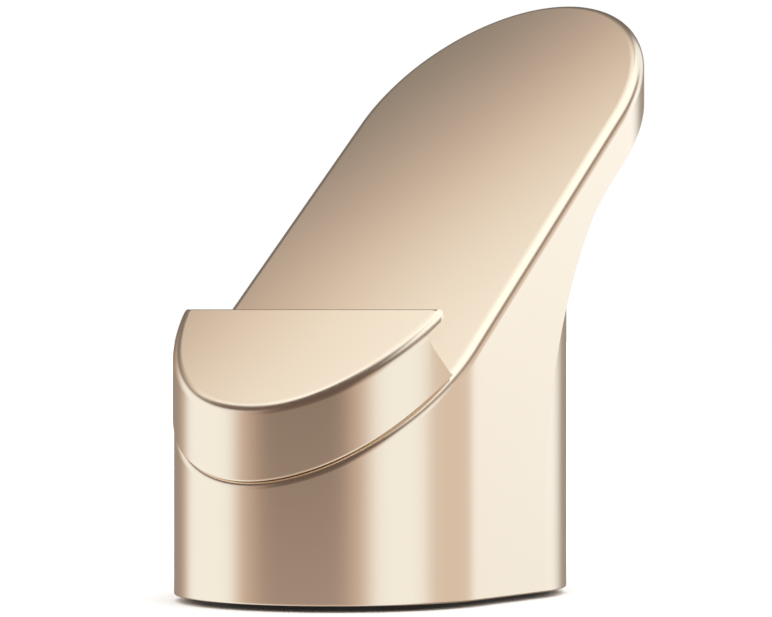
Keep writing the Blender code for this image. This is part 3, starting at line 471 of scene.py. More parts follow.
def lower_wall(start, columns):
    """The wall under a row of points down to the foot, and its small rounded lower edge."""
    steps = 4
    lines = [start]
    for j in range(steps + 1):
        t = math.radians(90 * j / steps)
        inset, height = FOOT_EDGE * (1 - math.cos(t)), FOOT_HEIGHT + FOOT_EDGE * (1 - math.sin(t))
        lines.append([Vector((x - n[0] * inset, y - n[1] * inset, height)) for x, y, n in columns])
    faces = []
    for upper, lower in zip(lines, lines[1:]):
        faces += ribbon(upper, lower)
    return faces


def hollow(name):
    """The room inside the shell, open downwards."""
    radius, steps = RADIUS - WALL, 32
    room = prism(name, stadium(radius, TIP_Y, steps, steps), -0.05, REACH, FLAT)
    carve(room, side_prism("lid", [(-REACH, face_height(-REACH, WALL)), (REACH, face_height(REACH, WALL)),
                                   (REACH, 2 * REACH), (-REACH, 2 * REACH)]))
    line = [tuple(p) for p in neck_points(WALL, 24)]
    end_y, end_z = line[-1]
    outline = [(line[0][0], -REACH), *line, (REACH, end_z + (REACH - end_y) * RISE), (REACH, -REACH)]
    under = side_prism("under", outline)
    carve(under, prism("base", stadium(radius, BACK_Y, steps, steps), -2 * REACH, 2 * REACH, FLAT))
    return carve(room, under)


def boss_places():
    for index in range(1, 5):
        low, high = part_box(f"base_screw_{index}")
        yield (low.x + high.x) / 2, (low.y + high.y) / 2


def inner_bosses():
    """Screw posts in the base, and the posts and pads behind the face."""
    post_radius, low, high = 3.4 * MM, 6.3 * MM, 15 * MM
    parts = []
    for x, y in boss_places():
        parts.append(cylinder("boss", post_radius, low, high, Matrix.Translation((x, y, 0)), 40))
    for side in (-1, 1):
        screw = nozzle_place(side * SCREW_SIDE)
        parts.append(cylinder("face_boss", 2.6 * MM, -4 * MM, -1 * MM, screw, 32))
        parts.append(cylinder("keeper_pad", post_radius, -2.6 * MM, -1 * MM, magnet_place(side), 32))
    return joined("bosses", parts)


def holes():
    """Everything cut through the shell."""
    wall_in, wall_out, vent_half, vent_length = 38 * MM, 50 * MM, 0.6 * MM, 4.4 * MM
    cuts = [cylinder("aperture", SOCKET_RADIUS + GAP, -6 * MM, 5 * MM, nozzle_frame())]
    for side in (-1, 1):
        screw = nozzle_place(side * SCREW_SIDE)
        cuts.append(cylinder("screw_way", WAY_RADIUS, -3.7 * MM, 2 * MM, screw, 32))
        cuts.append(cylinder("pocket", MAGNET_RADIUS + GAP, -1.5 * MM, 2 * MM, magnet_place(side), 48))
    for x, y in boss_places():
        cuts.append(cylinder("boss_way", 1.4 * MM, 2 * MM, 13.5 * MM, Matrix.Translation((x, y, 0)), 24))
    cuts.append(cylinder("button_way", BUTTON_RADIUS + GAP, wall_in, wall_out, back_frame(BUTTON_HEIGHT), 72))
    for index in (-1, 0, 1):
        place = back_frame(LIGHT_HEIGHT) @ Matrix.Translation((index * LIGHT_PITCH, 0, 0))
        cuts.append(cylinder("light_way", WAY_RADIUS, wall_in, wall_out, place, 32))
    for index in range(-2, 3):
        place = (back_frame(VENT_HEIGHT) @ Matrix.Translation((index * VENT_PITCH, 0, 0))
                 @ Matrix.Rotation(math.radians(90), 4, "Z"))
        cuts.append(prism("vent", slot_outline(vent_half, vent_length, 8), wall_in, wall_out, place))
    inlet = slot_outline(1.9 * MM, 2.95 * MM)
    cuts.append(prism("usb_way", inlet, wall_in, wall_out, back_frame(USB_HEIGHT)))
    return joined("holes", cuts)


def on_back_wall(point):
    reach = math.hypot(point.x, point.y - BACK_Y)
    return abs(reach - RADIUS) < 3e-5 and point.y > BACK_Y + 10 * MM


def body_piece():
    body = body_solid("shell_skin")

    def on_lower_rim(point):
        on_side = abs(abs(point.x) - RADIUS) < 1e-6 and point.y < TIP_Y + 1e-6
        on_tip = abs(math.hypot(point.x, point.y - TIP_Y) - RADIUS) < 1e-6
        is_over_base = point.z > NECK_START_HEIGHT + 20 * MM and point.y > BACK_Y + 2 * MM
        return (on_side or on_tip) and is_over_base and out_of_face(point) < -4 * MM

    def tongue_edge(edge):
        return all(on_lower_rim(v.co) for v in edge.verts) and edge.calc_face_angle() > math.radians(30)

    soften(body, tongue_edge, 0.3 * MM, 3)
    carve(body, hollow("room"))
    carve(body, inner_bosses(), "UNION")
    carve(body, holes())

    def hole_edge(edge):
        sharp = edge.calc_face_angle() > math.radians(45)
        middle = (edge.verts[0].co + edge.verts[1].co) / 2
        on_wall = all(on_back_wall(v.co) for v in edge.verts) and abs(middle.x) < 9 * MM
        return sharp and on_wall and 7 * MM < middle.z < 53 * MM

    soften(body, hole_edge, 0.18 * MM, 3)
    dress(body, "shell_metal", ["body_shell"])


# ---- Cap ----

def cap_solid(name):
    """The cap before its ledge and lip are cut: round front, straight sides, flat top and rounded edges."""
    radius = RADIUS + CAP_PROUD
    steps = ARC_STEPS + 24
    columns = [column(math.pi * (1 + i / steps), FRONT_Y, radius) for i in range(steps + 1)]
    columns = [(-radius, BACK_Y, (-1, 0))] + columns + [(radius, BACK_Y, (1, 0))]
    sections = []
    for x, y, n in columns:
        upper = rim_section(x, y, n, CAP_RIM, -CAP_TOP)
        lower = rim_section(x, y, n, CAP_EDGE, -CAP_LIFT, below=True)
        sections.append(upper + list(reversed(lower)))
    faces = []
    for here, after in zip(sections, sections[1:]):
        faces += ribbon(here, after)
    faces.append([s[0] for s in sections])
    faces.append([s[-1] for s in sections])
    faces.append(list(sections[0]) + list(reversed(sections[-1])))
    return from_faces(name, faces)


def cap_cutter():
    """What the finger space and everything behind the cap takes away; it leaves a rounded nose on the lip."""
    under = CAP_TOP - LIP_THICKNESS
    tip, over, low = LIP_TIP_ALONG, 30 * MM, -10 * MM
    corner = arc_points((LEDGE_ALONG + LIP_CORNER, under - LIP_CORNER), LIP_CORNER, 180, 90, 8)
    lower = arc_points((tip - LIP_UNDER, under + LIP_UNDER), LIP_UNDER, -90, 0, 4)
    nose = arc_points((tip - LIP_NOSE, CAP_TOP - LIP_NOSE), LIP_NOSE, 0, 88, 9)
    outline = [(LEDGE_ALONG, low), *corner, *lower, *nose, (nose[-1][0], over), (FAR, over), (FAR, low)]
    return side_prism("cap_cut", [on_slope(*p) for p in outline])


def lip_end_cutters():
    """Small prisms square to the face that round the lip's two ends in plan."""
    y, z = on_slope(LIP_TIP_ALONG, 0)
    place = Matrix.Translation((0, y, z)) @ Matrix.Rotation(SLOPE, 4, "X")
    across = math.sqrt(RADIUS ** 2 - (y - CAP_TOP * math.sin(SLOPE) - FRONT_Y) ** 2) - 0.35 * MM
    curve = arc_points((across - LIP_END, -LIP_END), LIP_END, 90, 0, 10)
    outline = [(curve[0][0], 1 * MM), *curve, (across + 0.4 * MM, -5 * MM), (across + 5 * MM, -5 * MM),
               (across + 5 * MM, 1 * MM)]
    ends = []
    for side in (-1, 1):
        mirrored = [(side * x, along) for x, along in outline]
        ends.append(prism("lip_end", mirrored, CAP_TOP - 3 * MM, CAP_TOP + 3 * MM, place))
    return joined("lip_ends", ends)


def cap_hollow():
    """The room inside the cap."""
    room = prism("cap_room", stadium(RADIUS + CAP_PROUD - CAP_WALL, BACK_Y, 16, 64), 0, REACH, FLAT)
    front, low = -60 * MM, -5 * MM
    ledge, top = LEDGE_ALONG - CAP_WALL, CAP_TOP - CAP_WALL
    keep = [on_slope(*p) for p in ((front, low), (ledge, low), (ledge, top), (front, top))]
    return carve(room, side_prism("cap_keep", keep), "INTERSECT")


def cap_piece():
    cap = cap_solid("cap_skin")
    carve(cap, lip_end_cutters())
    carve(cap, cap_cutter())

    def ledge_edge(edge):
        on_ledge = all(abs(along_face(v.co) - LEDGE_ALONG) < 2e-6 for v in edge.verts)
        return on_ledge and edge.calc_length() > 0.3 * MM and edge.calc_face_angle() > math.radians(40)

    soften(cap, ledge_edge, LEDGE_EDGE, 4, clamp=False)
    carve(cap, cap_hollow())
    places = [magnet_place(side) for side in (-1, 1)]
    post = (MAGNET_RADIUS + 1.2 * MM, 0.5 * MM, CAP_TOP - 1 * MM)
    carve(cap, joined("posts", [cylinder("post", *post, place, 48) for place in places]), "UNION")
    pocket = (MAGNET_RADIUS + GAP, -1 * MM, 2.3 * MM)
    carve(cap, joined("pockets", [cylinder("pocket", *pocket, place, 48) for place in places]))
    dress(cap, "shell_metal", ["nozzle_cap"], "cap")


# ---- Foot ----

def foot_piece():
    """Moulded rubber pad with a rounded edge and a groove that follows it."""
    low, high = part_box("foot_pad")
    radius = (high.x - low.x) / 2
    foot = prism("foot_skin", stadium(radius), 0, high.z, FLAT)
    soften(foot, lambda e: e.calc_face_angle() > math.radians(60), FOOT_ROUND, 4)
    groove = prism("groove", stadium(radius - 2.4 * MM), -1 * MM, 0.35 * MM, FLAT)
    carve(groove, prism("core", stadium(radius - 3.2 * MM), -2 * MM, 1 * MM, FLAT))
    carve(foot, groove)
    dress(foot, "foot_rubber", ["foot_pad"])


# ---- Nozzle, under the cap ----

def tip_piece():
    """Clear cup: a plug in the socket, a flange on the seal and a flared cone up to its round lip."""
    lip, cone_foot = 0.5 * MM, (7.9 * MM, 3.4 * MM)
    mouth = arc_points((5.6 * MM, 6.3 * MM), lip, 180, 0, 12)
    flare = []
    for i in range(1, 9):
        t = i / 8
        flare.append(((1 - t) ** 2 * 6.1 * MM + 2 * (1 - t) * t * 6.25 * MM + t ** 2 * cone_foot[0],
                      (1 - t) ** 2 * 6.3 * MM + 2 * (1 - t) * t * 4 * MM + t ** 2 * cone_foot[1]))
    rim, roundness = 8.1 * MM, 0.3 * MM
    flange = arc_points((rim, 3.1 * MM), roundness, 90, 0, 5)
    flange += arc_points((rim, 2.9 * MM), roundness, 0, -90, 5)
    plug = [(6.3 * MM, 2.6 * MM), (6.3 * MM, -1.7 * MM), (6.1 * MM, -2 * MM), (5.3 * MM, -2 * MM)]
    tip = turned("tip_skin", mouth + flare + flange + plug, nozzle_frame())
    dress(tip, "clear_tip", ["suction_tip"])


def seal_piece():
    """Soft ring under the tip's flange, round in section."""
    middle, height, half_width, half_height = 7.7 * MM, 2.05 * MM, 0.7 * MM, 0.25 * MM
    outline = []
    for i in range(16):
        a = math.radians(360 * i / 16)
        outline.append((middle + half_width * math.cos(a), height + half_height * math.sin(a)))
    seal = turned("seal_skin", outline, nozzle_frame())
    dress(seal, "silicone", ["tip_seal"], sharp=60)


def nozzle_housing_piece():
    """Fixing plate with rounded edges, the socket through the face and the barb for the tube."""
    place = nozzle_frame()
    upright = place.inverted()
    plate_top, barb_depth = 1.5 * MM, -6.9 * MM
    housing = prism("nozzle_housing_skin", slot_outline(8.4 * MM, 5.6 * MM, 40), GAP, plate_top, place)

    def top_edge(edge):
        return all((upright @ v.co).z > plate_top - 1e-6 for v in edge.verts) and edge.calc_face_angle() > 1

    soften(housing, top_edge, 0.4 * MM, 4)
    sideways = place @ Matrix.Translation((0, 0, barb_depth)) @ Matrix.Rotation(math.radians(90), 4, "Y")
    bore, chamber, barb, barb_bore = 6.7 * MM, 5.8 * MM, 1.6 * MM, 0.8 * MM
    carve(housing, cylinder("socket", SOCKET_RADIUS, -9.2 * MM, 1 * MM, place), "UNION")
    carve(housing, cylinder("barb", barb, 6.9 * MM, 12.4 * MM, sideways, 32), "UNION")
    carve(housing, cylinder("bore", bore, -5.9 * MM, 3 * MM, place))
    carve(housing, cylinder("chamber", chamber, -8.4 * MM, -5 * MM, place))
    carve(housing, cylinder("barb_way", barb_bore, 4 * MM, 14 * MM, sideways, 24))
    places = [nozzle_place(side * SCREW_SIDE) for side in (-1, 1)]
    ways = [cylinder("screw_way", WAY_RADIUS, -1 * MM, 3 * MM, place, 32) for place in places]
    carve(housing, joined("ways", ways))
    dress(housing, "white_plastic", ["nozzle_housing"])


def cross_outline(reach, half):
    """A plus-shaped outline."""
    corner = [(reach, -half), (reach, half), (half, half)]
    outline = []
    for quarter in range(4):
        turn = Matrix.Rotation(math.radians(90 * quarter), 2)
        outline += [tuple(turn @ Vector(p)) for p in corner]
    return outline


def nozzle_screw_pieces():
    """Domed heads with a cross recess."""
    head, rise, shank, foot = 1.9 * MM, 0.9 * MM, 1 * MM, -3.4 * MM
    for label, side in SIDES:
        place = nozzle_place(side * SCREW_SIDE)
        dome = [(head * math.cos(math.radians(a)), 1.9 * MM + rise * math.sin(math.radians(a)))
                for a in range(0, 91, 10)]
        outline = [(head, 1.8 * MM), *dome[:-1], (0, 2.8 * MM), (0, foot), (0.6 * MM, foot),
                   (shank, -3 * MM), (shank, 1.8 * MM)]
        screw = turned(f"nozzle_screw_skin_{label}", outline, place, 48)
        carve(screw, prism("recess", cross_outline(1.05 * MM, 0.24 * MM), 2.1 * MM, 4 * MM, place))
        dress(screw, "steel", [f"nozzle_screw_{label}"])


def disc_pieces():
    """Plated magnets in the cap and the steel keepers that face them, with rolled edges."""
    for label, side in SIDES:
        for name, body, low, high in (("cap_magnet", "cap", 0.5 * MM, 2 * MM),
                                      ("cap_keeper", "housing", -1.2 * MM, -0.1 * MM)):
            outline = rounded([(0, high), (MAGNET_RADIUS, high), (MAGNET_RADIUS, low), (0, low)], 0.2 * MM)
            disc = turned(f"{name}_skin_{label}", outline, magnet_place(side), 64)
            dress(disc, "steel", [f"{name}_{label}"], body, 60)


# ---- Foam ----

def pore_surface(obj, depth, cell):
    """Pit a finely divided surface inwards with two sizes of pores."""
    mesh = obj.data
    offsets = []
    for vert in mesh.vertices:
        coarse = noise_tools.noise(vert.co / cell)
        fine = noise_tools.noise(vert.co / cell * 2.3)
        offsets.append(vert.normal * -depth * min(1.0, abs(coarse) + 0.5 * abs(fine)))
    for vert, offset in zip(mesh.vertices, offsets):
        vert.co += offset
    return obj


def divided_box(name, low, high, step):
    """A box whose faces are cut into squares of about one size."""
    size = [b - a for a, b in zip(low, high)]
    counts = [max(1, round(length / step)) for length in size]
    faces = []
    for axis in range(3):
        u, v = (axis + 1) % 3, (axis + 2) % 3
        for level in (low[axis], high[axis]):
            for i in range(counts[u]):
                for j in range(counts[v]):
                    corners = []
                    for p, q in ((i, j), (i + 1, j), (i + 1, j + 1), (i, j + 1)):
                        corner = Vector((0, 0, 0))
                        corner[axis] = level
                        corner[u] = low[u] + size[u] * p / counts[u]
                        corner[v] = low[v] + size[v] * q / counts[v]
                        corners.append(corner)
                    faces.append(corners)
    return from_faces(name, faces)


def foam_pieces():
    low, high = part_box("exhaust_foam")
    pad = pore_surface(divided_box("exhaust_foam_skin", low, high, 0.3 * MM), 0.22 * MM, 0.9 * MM)
    dress(pad, "foam", ["exhaust_foam"], sharp=180)
    radius, low, high = 6.4 * MM, -4.5 * MM, -2.4 * MM
    rows = 20
    outline = [(radius * i / rows, high) for i in range(rows)]
    outline += [(radius, high + (low - high) * i / 8) for i in range(9)]
    outline += [(radius * (1 - i / rows), low) for i in range(1, rows + 1)]
    sponge = pore_surface(turned("filter_sponge_skin", outline, nozzle_frame(), 96), 0.25 * MM, 0.9 * MM)
    dress(sponge, "foam", ["filter_sponge"], sharp=180)


# ---- Button, lights and charging socket on the back ----

def button_piece():
    """Slightly crowned button with a soft edge, a flange behind the wall and a stem."""
    crown_radius, crown_top, fall, edge_round = 4.75 * MM, 46.95 * MM, 0.33 * MM, 0.45 * MM
    flange, flange_top, flange_back = 6.4 * MM, 43 * MM, 42 * MM
    stem, stem_end = 1.6 * MM, 41.4 * MM
    outline = [(crown_radius * i / 12, crown_top - fall * (i / 12) ** 2) for i in range(13)]
    outline += arc_points((crown_radius, crown_top - fall - edge_round), edge_round, 80, 0, 6)
    outline += [(BUTTON_RADIUS, flange_top), (flange, flange_top), (flange, flange_back), (stem, flange_back),
                (stem, stem_end), (0, stem_end)]
    button = turned("button_skin", outline, back_frame(BUTTON_HEIGHT), 96)
    dress(button, "shell_metal", ["power_button"], "button")


def light_guide_piece():
    """Milky bar with three round-ended pins that end just inside the wall's outer face."""
    pin, pin_foot, rise = 1 * MM, 42.4 * MM, 0.35 * MM
    low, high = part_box("light_guide")
    bar_depth = FRONT_Y + 43 * MM
    guide = divided_box("light_guide_skin", low, Vector((high.x, bar_depth, high.z)), 1)
    soften(guide, lambda e: True, 0.25 * MM, 3)
    for index in (-1, 0, 1):
        x = index * LIGHT_PITCH
        end = BACK_Y - FRONT_Y + math.sqrt(RADIUS ** 2 - x ** 2) - 0.12 * MM
        dome = [(pin * math.cos(math.radians(a)), end - rise + rise * math.sin(math.radians(a)))
                for a in range(0, 90, 15)]
        outline = [(pin, pin_foot), *dome, (0, end), (0, pin_foot)]
        place = back_frame(LIGHT_HEIGHT) @ Matrix.Translation((x, 0, 0))
        carve(guide, turned("pin", outline, place, 40), "UNION")
    dress(guide, "light_diffuser", ["light_guide"])


def usb_pieces():
    """Rolled steel shell, its tongue and twelve contacts on each side of it."""
    place = back_frame(USB_HEIGHT)
    half_length, outer, inner = 2.9 * MM, 1.6 * MM, 1.25 * MM
    shell = prism("usb_shell_skin", slot_outline(outer, half_length, 24), 38 * MM, 45.3 * MM, place)
    carve(shell, prism("hollow", slot_outline(inner, half_length, 24), 39 * MM, 47 * MM, place))

    def mouth_edge(edge):
        return edge.calc_face_angle() > 1 and all(v.co.y > FRONT_Y + 45 * MM for v in edge.verts)

    soften(shell, mouth_edge, 0.1 * MM, 3)
    dress(shell, "steel", ["usb_c_shell"])
    low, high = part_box("usb_c_tongue")
    tongue = divided_box("usb_tongue_skin", low, high, 1)
    soften(tongue, lambda e: all(v.co.y > high.y - 1e-6 for v in e.verts), 0.2 * MM, 2)
    dress(tongue, "dark_plastic", ["usb_c_tongue"])
    pitch, half, thickness = 0.5 * MM, 0.14 * MM, 0.03 * MM
    pads = []
    for index in range(12):
        x = (index - 5.5) * pitch
        for level in (low.z - thickness, high.z):
            corner = Vector((x - half, high.y - 3 * MM, level))
            pads.append(divided_box("pad", corner, corner + Vector((2 * half, 2.6 * MM, thickness)), 1))
    contacts = joined("usb_contacts", pads)
    dress(contacts, "brass", [])


# ---- Materials ----

def new_material(name, colour, roughness, metallic=0.0):
    material = bpy.data.materials.new(name)
    material.use_nodes = True
    shader = material.node_tree.nodes["Principled BSDF"]
    shader.inputs["Base Color"].default_value = (*colour, 1)
    shader.inputs["Roughness"].default_value = roughness
    shader.inputs["Metallic"].default_value = metallic
    return material, material.node_tree, shader


def node(tree, kind, inputs=(), **settings):
    """A node with its settings; each input takes a constant or another node's output."""
    made = tree.nodes.new("ShaderNode" + kind)
    for name, value in settings.items():
        setattr(made, name, value)
    for socket, value in dict(inputs).items():
        if isinstance(value, bpy.types.NodeSocket):
            tree.links.new(value, made.inputs[socket])
        else:
            made.inputs[socket].default_value = value
    return made


def on_object(tree, kind, scale, **inputs):
    """A texture in the object's own coordinates."""
    place = node(tree, "TexCoord").outputs["Object"]
    return node(tree, kind, {"Vector": place, "Scale": scale, **inputs})


def noise(tree, scale, detail=2.0):
    return on_object(tree, "TexNoise", scale, Detail=detail)


def bump(tree, shader, texture, strength, distance):
    inputs = {"Strength": strength, "Distance": distance, "Height": texture.outputs["Fac"]}
    tree.links.new(node(tree, "Bump", inputs).outputs["Normal"], shader.inputs["Normal"])


def glowing(name):
    """A light-emitting material, its tree and its light node."""
    material = bpy.data.materials.new(name)
    material.use_nodes = True
    tree = material.node_tree
    tree.nodes.clear()
    light = node(tree, "Emission")
    node(tree, "OutputMaterial", {"Surface": light.outputs["Emission"]})
    return material, tree, light


def vary(tree, shader, texture, socket, low, high):
    """Drive a socket between two values from a texture."""
    made = node(tree, "MapRange", {"To Min": low, "To Max": high, "Value": texture.outputs["Fac"]})
    tree.links.new(made.outputs["Result"], shader.inputs[socket])


def colour_ramp(tree, driver, stops):
    """The colour that a value reads off (position, colour) stops."""
    ramp = node(tree, "ValToRGB", {"Fac": driver})
    elements = ramp.color_ramp.elements
    while len(elements) < len(stops):
        elements.new(0.5)
    for element, (position, colour) in zip(elements, stops):
        element.position = position
        element.color = (*colour, 1)
    return ramp.outputs["Color"]


def tint(tree, shader, driver, *stops):
    tree.links.new(colour_ramp(tree, driver, stops), shader.inputs["Base Color"])


def champagne():
    """Satin metallic finish: bead-blasted grain too fine to see as more than a softened reflection."""
    material, tree, shader = new_material("champagne_satin", (0.91, 0.79, 0.655), 0.22, 1)
    vary(tree, shader, noise(tree, 60, 3), "Roughness", 0.205, 0.235)
    bump(tree, shader, noise(tree, 9000, 2), 0.02, 0.00002)
    return material


def grained(name, colour, roughness, grain, metallic=0.0, others=()):
    """A material whose roughness wanders between two values and whose surface has a fine grain."""
    material, tree, shader = new_material(name, colour, roughness[0], metallic)
    vary(tree, shader, noise(tree, 180, 3), "Roughness", *roughness)
    scale, strength, depth = grain
    bump(tree, shader, noise(tree, scale, 3), strength, depth)
    darker = tuple(0.93 * c for c in colour)
    tint(tree, shader, noise(tree, 300, 2).outputs["Fac"], (0.35, darker), (0.65, colour))
    for socket, value in others:
        shader.inputs[socket].default_value = value
    return material


# For each slot of plain stuff: material name, colour, roughness range, grain (scale, strength and depth),
# metallic share and other shader inputs
PLAIN = {
    "foot_rubber": ("foot_rubber", (0.022, 0.021, 0.021), (0.6, 0.8), (4000, 0.5, 0.00004)),
    "clear_tip": ("clear_tip", (0.95, 0.97, 0.98), (0.02, 0.05), (500, 0.02, 0.00002), 0,
                  (("Transmission Weight", 1), ("IOR", 1.49))),
    "silicone": ("silicone", (0.82, 0.82, 0.8), (0.42, 0.55), (2500, 0.1, 0.00002), 0,
                 (("Subsurface Weight", 0.3), ("Subsurface Scale", 0.001))),
    "white_plastic": ("white_plastic", (0.85, 0.84, 0.82), (0.38, 0.5), (3000, 0.15, 0.00002), 0,
                      (("Subsurface Weight", 0.08), ("Subsurface Scale", 0.0005))),
    "dark_plastic": ("dark_plastic", (0.05, 0.05, 0.055), (0.42, 0.58), (3500, 0.3, 0.00003)),
    "steel": ("plated_steel", (0.62, 0.62, 0.64), (0.2, 0.34), (2200, 0.08, 0.00002), 1),
    "brass": ("brass", (0.78, 0.6, 0.3), (0.22, 0.36), (1800, 0.1, 0.00002), 1),
    "copper": ("copper", (0.7, 0.35, 0.2), (0.3, 0.42), (2000, 0.05, 0.00001), 1),
    "ferrite": ("ferrite", (0.08, 0.08, 0.09), (0.55, 0.7), (2500, 0.4, 0.00005), 0.4),
    "foam": ("foam", (0.2, 0.2, 0.21), (0.9, 0.98), (3000, 0.5, 0.0001)),
    "cell_wrap": ("cell_wrap", (0.05, 0.2, 0.45), (0.18, 0.3), (400, 0.2, 0.0001), 0,
                  (("Coat Weight", 0.4),)),
    "board": ("board", (0.03, 0.16, 0.08), (0.3, 0.42), (1500, 0.1, 0.00002)),
    "red_wire": ("red_wire", (0.5, 0.03, 0.03), (0.4, 0.5), (1500, 0.1, 0.00002)),
    "black_wire": ("black_wire", (0.03, 0.03, 0.03), (0.4, 0.5), (1500, 0.1, 0.00002)),
    "light_diffuser": ("light_diffuser", (0.9, 0.9, 0.88), (0.15, 0.25), (900, 0.05, 0.00002), 0,
                       (("Subsurface Weight", 0.4), ("Subsurface Scale", 0.002))),
    "light_chip": ("light_chip", (0.9, 0.85, 0.6), (0.2, 0.32), (1200, 0.1, 0.00002))}


def parts_of(material):
    return material.node_tree, material.node_tree.nodes["Principled BSDF"]


def wind(material):
    """Lacquered windings: fine parallel turns."""
    tree, shader = parts_of(material)
    bump(tree, shader, on_object(tree, "TexWave", 900), 0.6, 0.0001)


def paint_pore_shade(material):
    """Open-cell foam: painted shade darkens the pores between lighter strands."""
    tree, shader = parts_of(material)
    pore_shade_cells = on_object(tree, "TexVoronoi", 1400)
    # painted shade: the pores' centres are dark, the strands between them lighter
    tint(tree, shader, pore_shade_cells.outputs["Distance"], (0.15, (0.03, 0.03, 0.032)), (0.6, (0.24, 0.24, 0.25)))


def lay_tracks(material):
    """Solder mask with faint tracks under it."""
    tree, shader = parts_of(material)
    tracks = on_object(tree, "TexBrick", 400, Color1=(0.028, 0.15, 0.075, 1), Color2=(0.03, 0.17, 0.085, 1),
                       Mortar=(0.06, 0.26, 0.12, 1))
    tree.links.new(tracks.outputs["Color"], shader.inputs["Base Color"])


def all_materials():
    """One material for each slot."""
    made = {"shell_metal": champagne()}
    for slot_name, values in PLAIN.items():
        made[slot_name] = grained(*values)
    wind(made["copper"])
    # painted shade in the foam's pores
    paint_pore_shade(made["foam"])
    lay_tracks(made["board"])
    return made


def dress_carried_over():
    """Give every node that keeps its own shape the material of its slot."""
    for entry in frame["record"]["subparts"]:
        mesh = frame["nodes"][entry["node"]].data
        mesh.materials.clear()
        mesh.materials.append(MADE[entry["material_slot"]])


# ---- Studio ----

class Sky:
    """The studio's surroundings as softboxes in azimuth and elevation, read by direction only."""

    def __init__(self, camera_azimuth):
        self.world = bpy.data.worlds.new("studio")
        bpy.context.scene.world = self.world
        self.world.use_nodes = True
        self.tree = self.world.node_tree
        self.camera_azimuth = camera_azimuth
        direction = node(self.tree, "TexCoord").outputs["Generated"]
        split = node(self.tree, "SeparateXYZ", {"Vector": direction})
        self.x, self.y, self.z = (split.outputs[axis] for axis in "XYZ")
        self.elevation = self.math("ARCSINE", self.z)
        self.colour = None

    def math(self, operation, *values):
        return node(self.tree, "Math", enumerate(values), operation=operation).outputs[0]

    def azimuth_from(self, centre):
        """Angle of a direction from a centre azimuth, 0 to pi; azimuth 0 is -Y and 90 is +X."""
        a = math.radians(centre + self.camera_azimuth)
        ahead = self.math("ADD", self.math("MULTIPLY", self.x, math.sin(a)),
                          self.math("MULTIPLY", self.y, -math.cos(a)))
        level = self.math("SQRT", self.math("SUBTRACT", 1.0, self.math("MULTIPLY", self.z, self.z)))
        share = self.math("DIVIDE", ahead, self.math("MAXIMUM", level, 1e-4))
        return self.math("ARCCOSINE", self.math("MINIMUM", self.math("MAXIMUM", share, -1.0), 1.0))

    def fade(self, value, full, none):
        """1 below full, 0 past none, smooth between, in degrees."""
        inputs = {"Value": value, "From Min": math.radians(full), "From Max": math.radians(none),
                  "To Min": 1, "To Max": 0}
        return node(self.tree, "MapRange", inputs, interpolation_type="SMOOTHSTEP").outputs["Result"]

    def band(self, centre, full, none, low=None, high=None, soft=8):
        """A mask: an azimuth band, cut between two elevations."""
        mask = self.fade(self.azimuth_from(centre), full, none)
        if high is not None:
            mask = self.math("MULTIPLY", mask, self.fade(self.elevation, high, high + soft))
        if low is not None:
            above = self.math("SUBTRACT", 1.0, self.fade(self.elevation, low - soft, low))
            mask = self.math("MULTIPLY", mask, above)
        return mask

    def lay(self, colour, mask=None):
        """Lay a colour over what is there."""
        if mask is None:
            self.colour = (*colour, 1)
            return
        inputs = {"Factor": mask, "A": self.colour, "B": (*colour, 1)}
        mix = node(self.tree, "Mix", inputs, data_type="RGBA", clamp_result=False, clamp_factor=False)
        self.colour = mix.outputs["Result"]

    def finish(self):
        background = self.tree.nodes["Background"]
        self.tree.links.new(self.colour, background.inputs["Color"])
        background.inputs["Strength"].default_value = 1.0


CAMERA_AZIMUTH = 32.85
CAMERA_PLACE = (0.3282, -0.5174, 0.0462)
CAMERA_LENS = 174.5


def camera():
    data = bpy.data.cameras.new("camera")
    data.lens = CAMERA_LENS
    data.sensor_width = 36
    data.clip_start, data.clip_end = 0.01, 50
    obj = link("camera", data)
    obj.location = CAMERA_PLACE
    obj.rotation_euler = (math.radians(90), 0, math.radians(CAMERA_AZIMUTH))
    bpy.context.scene.camera = obj


DIM = (0.33, 0.27, 0.235)
SHADE = (0.17, 0.125, 0.10)
GROUND = (0.56, 0.47, 0.415)
DEEP = (0.34, 0.28, 0.235)
BROWN = (0.14, 0.10, 0.083)
WARM = (0.63, 0.49, 0.405)
TAN = (0.745, 0.64, 0.56)
BRIGHT = (1.005, 1.06, 1.07)
GLOW = (1.16, 1.22, 1.28)
GLARE = (1.25, 1.3, 1.3)
LEVEL_TOP = 22                      # degrees; the upright softboxes end here


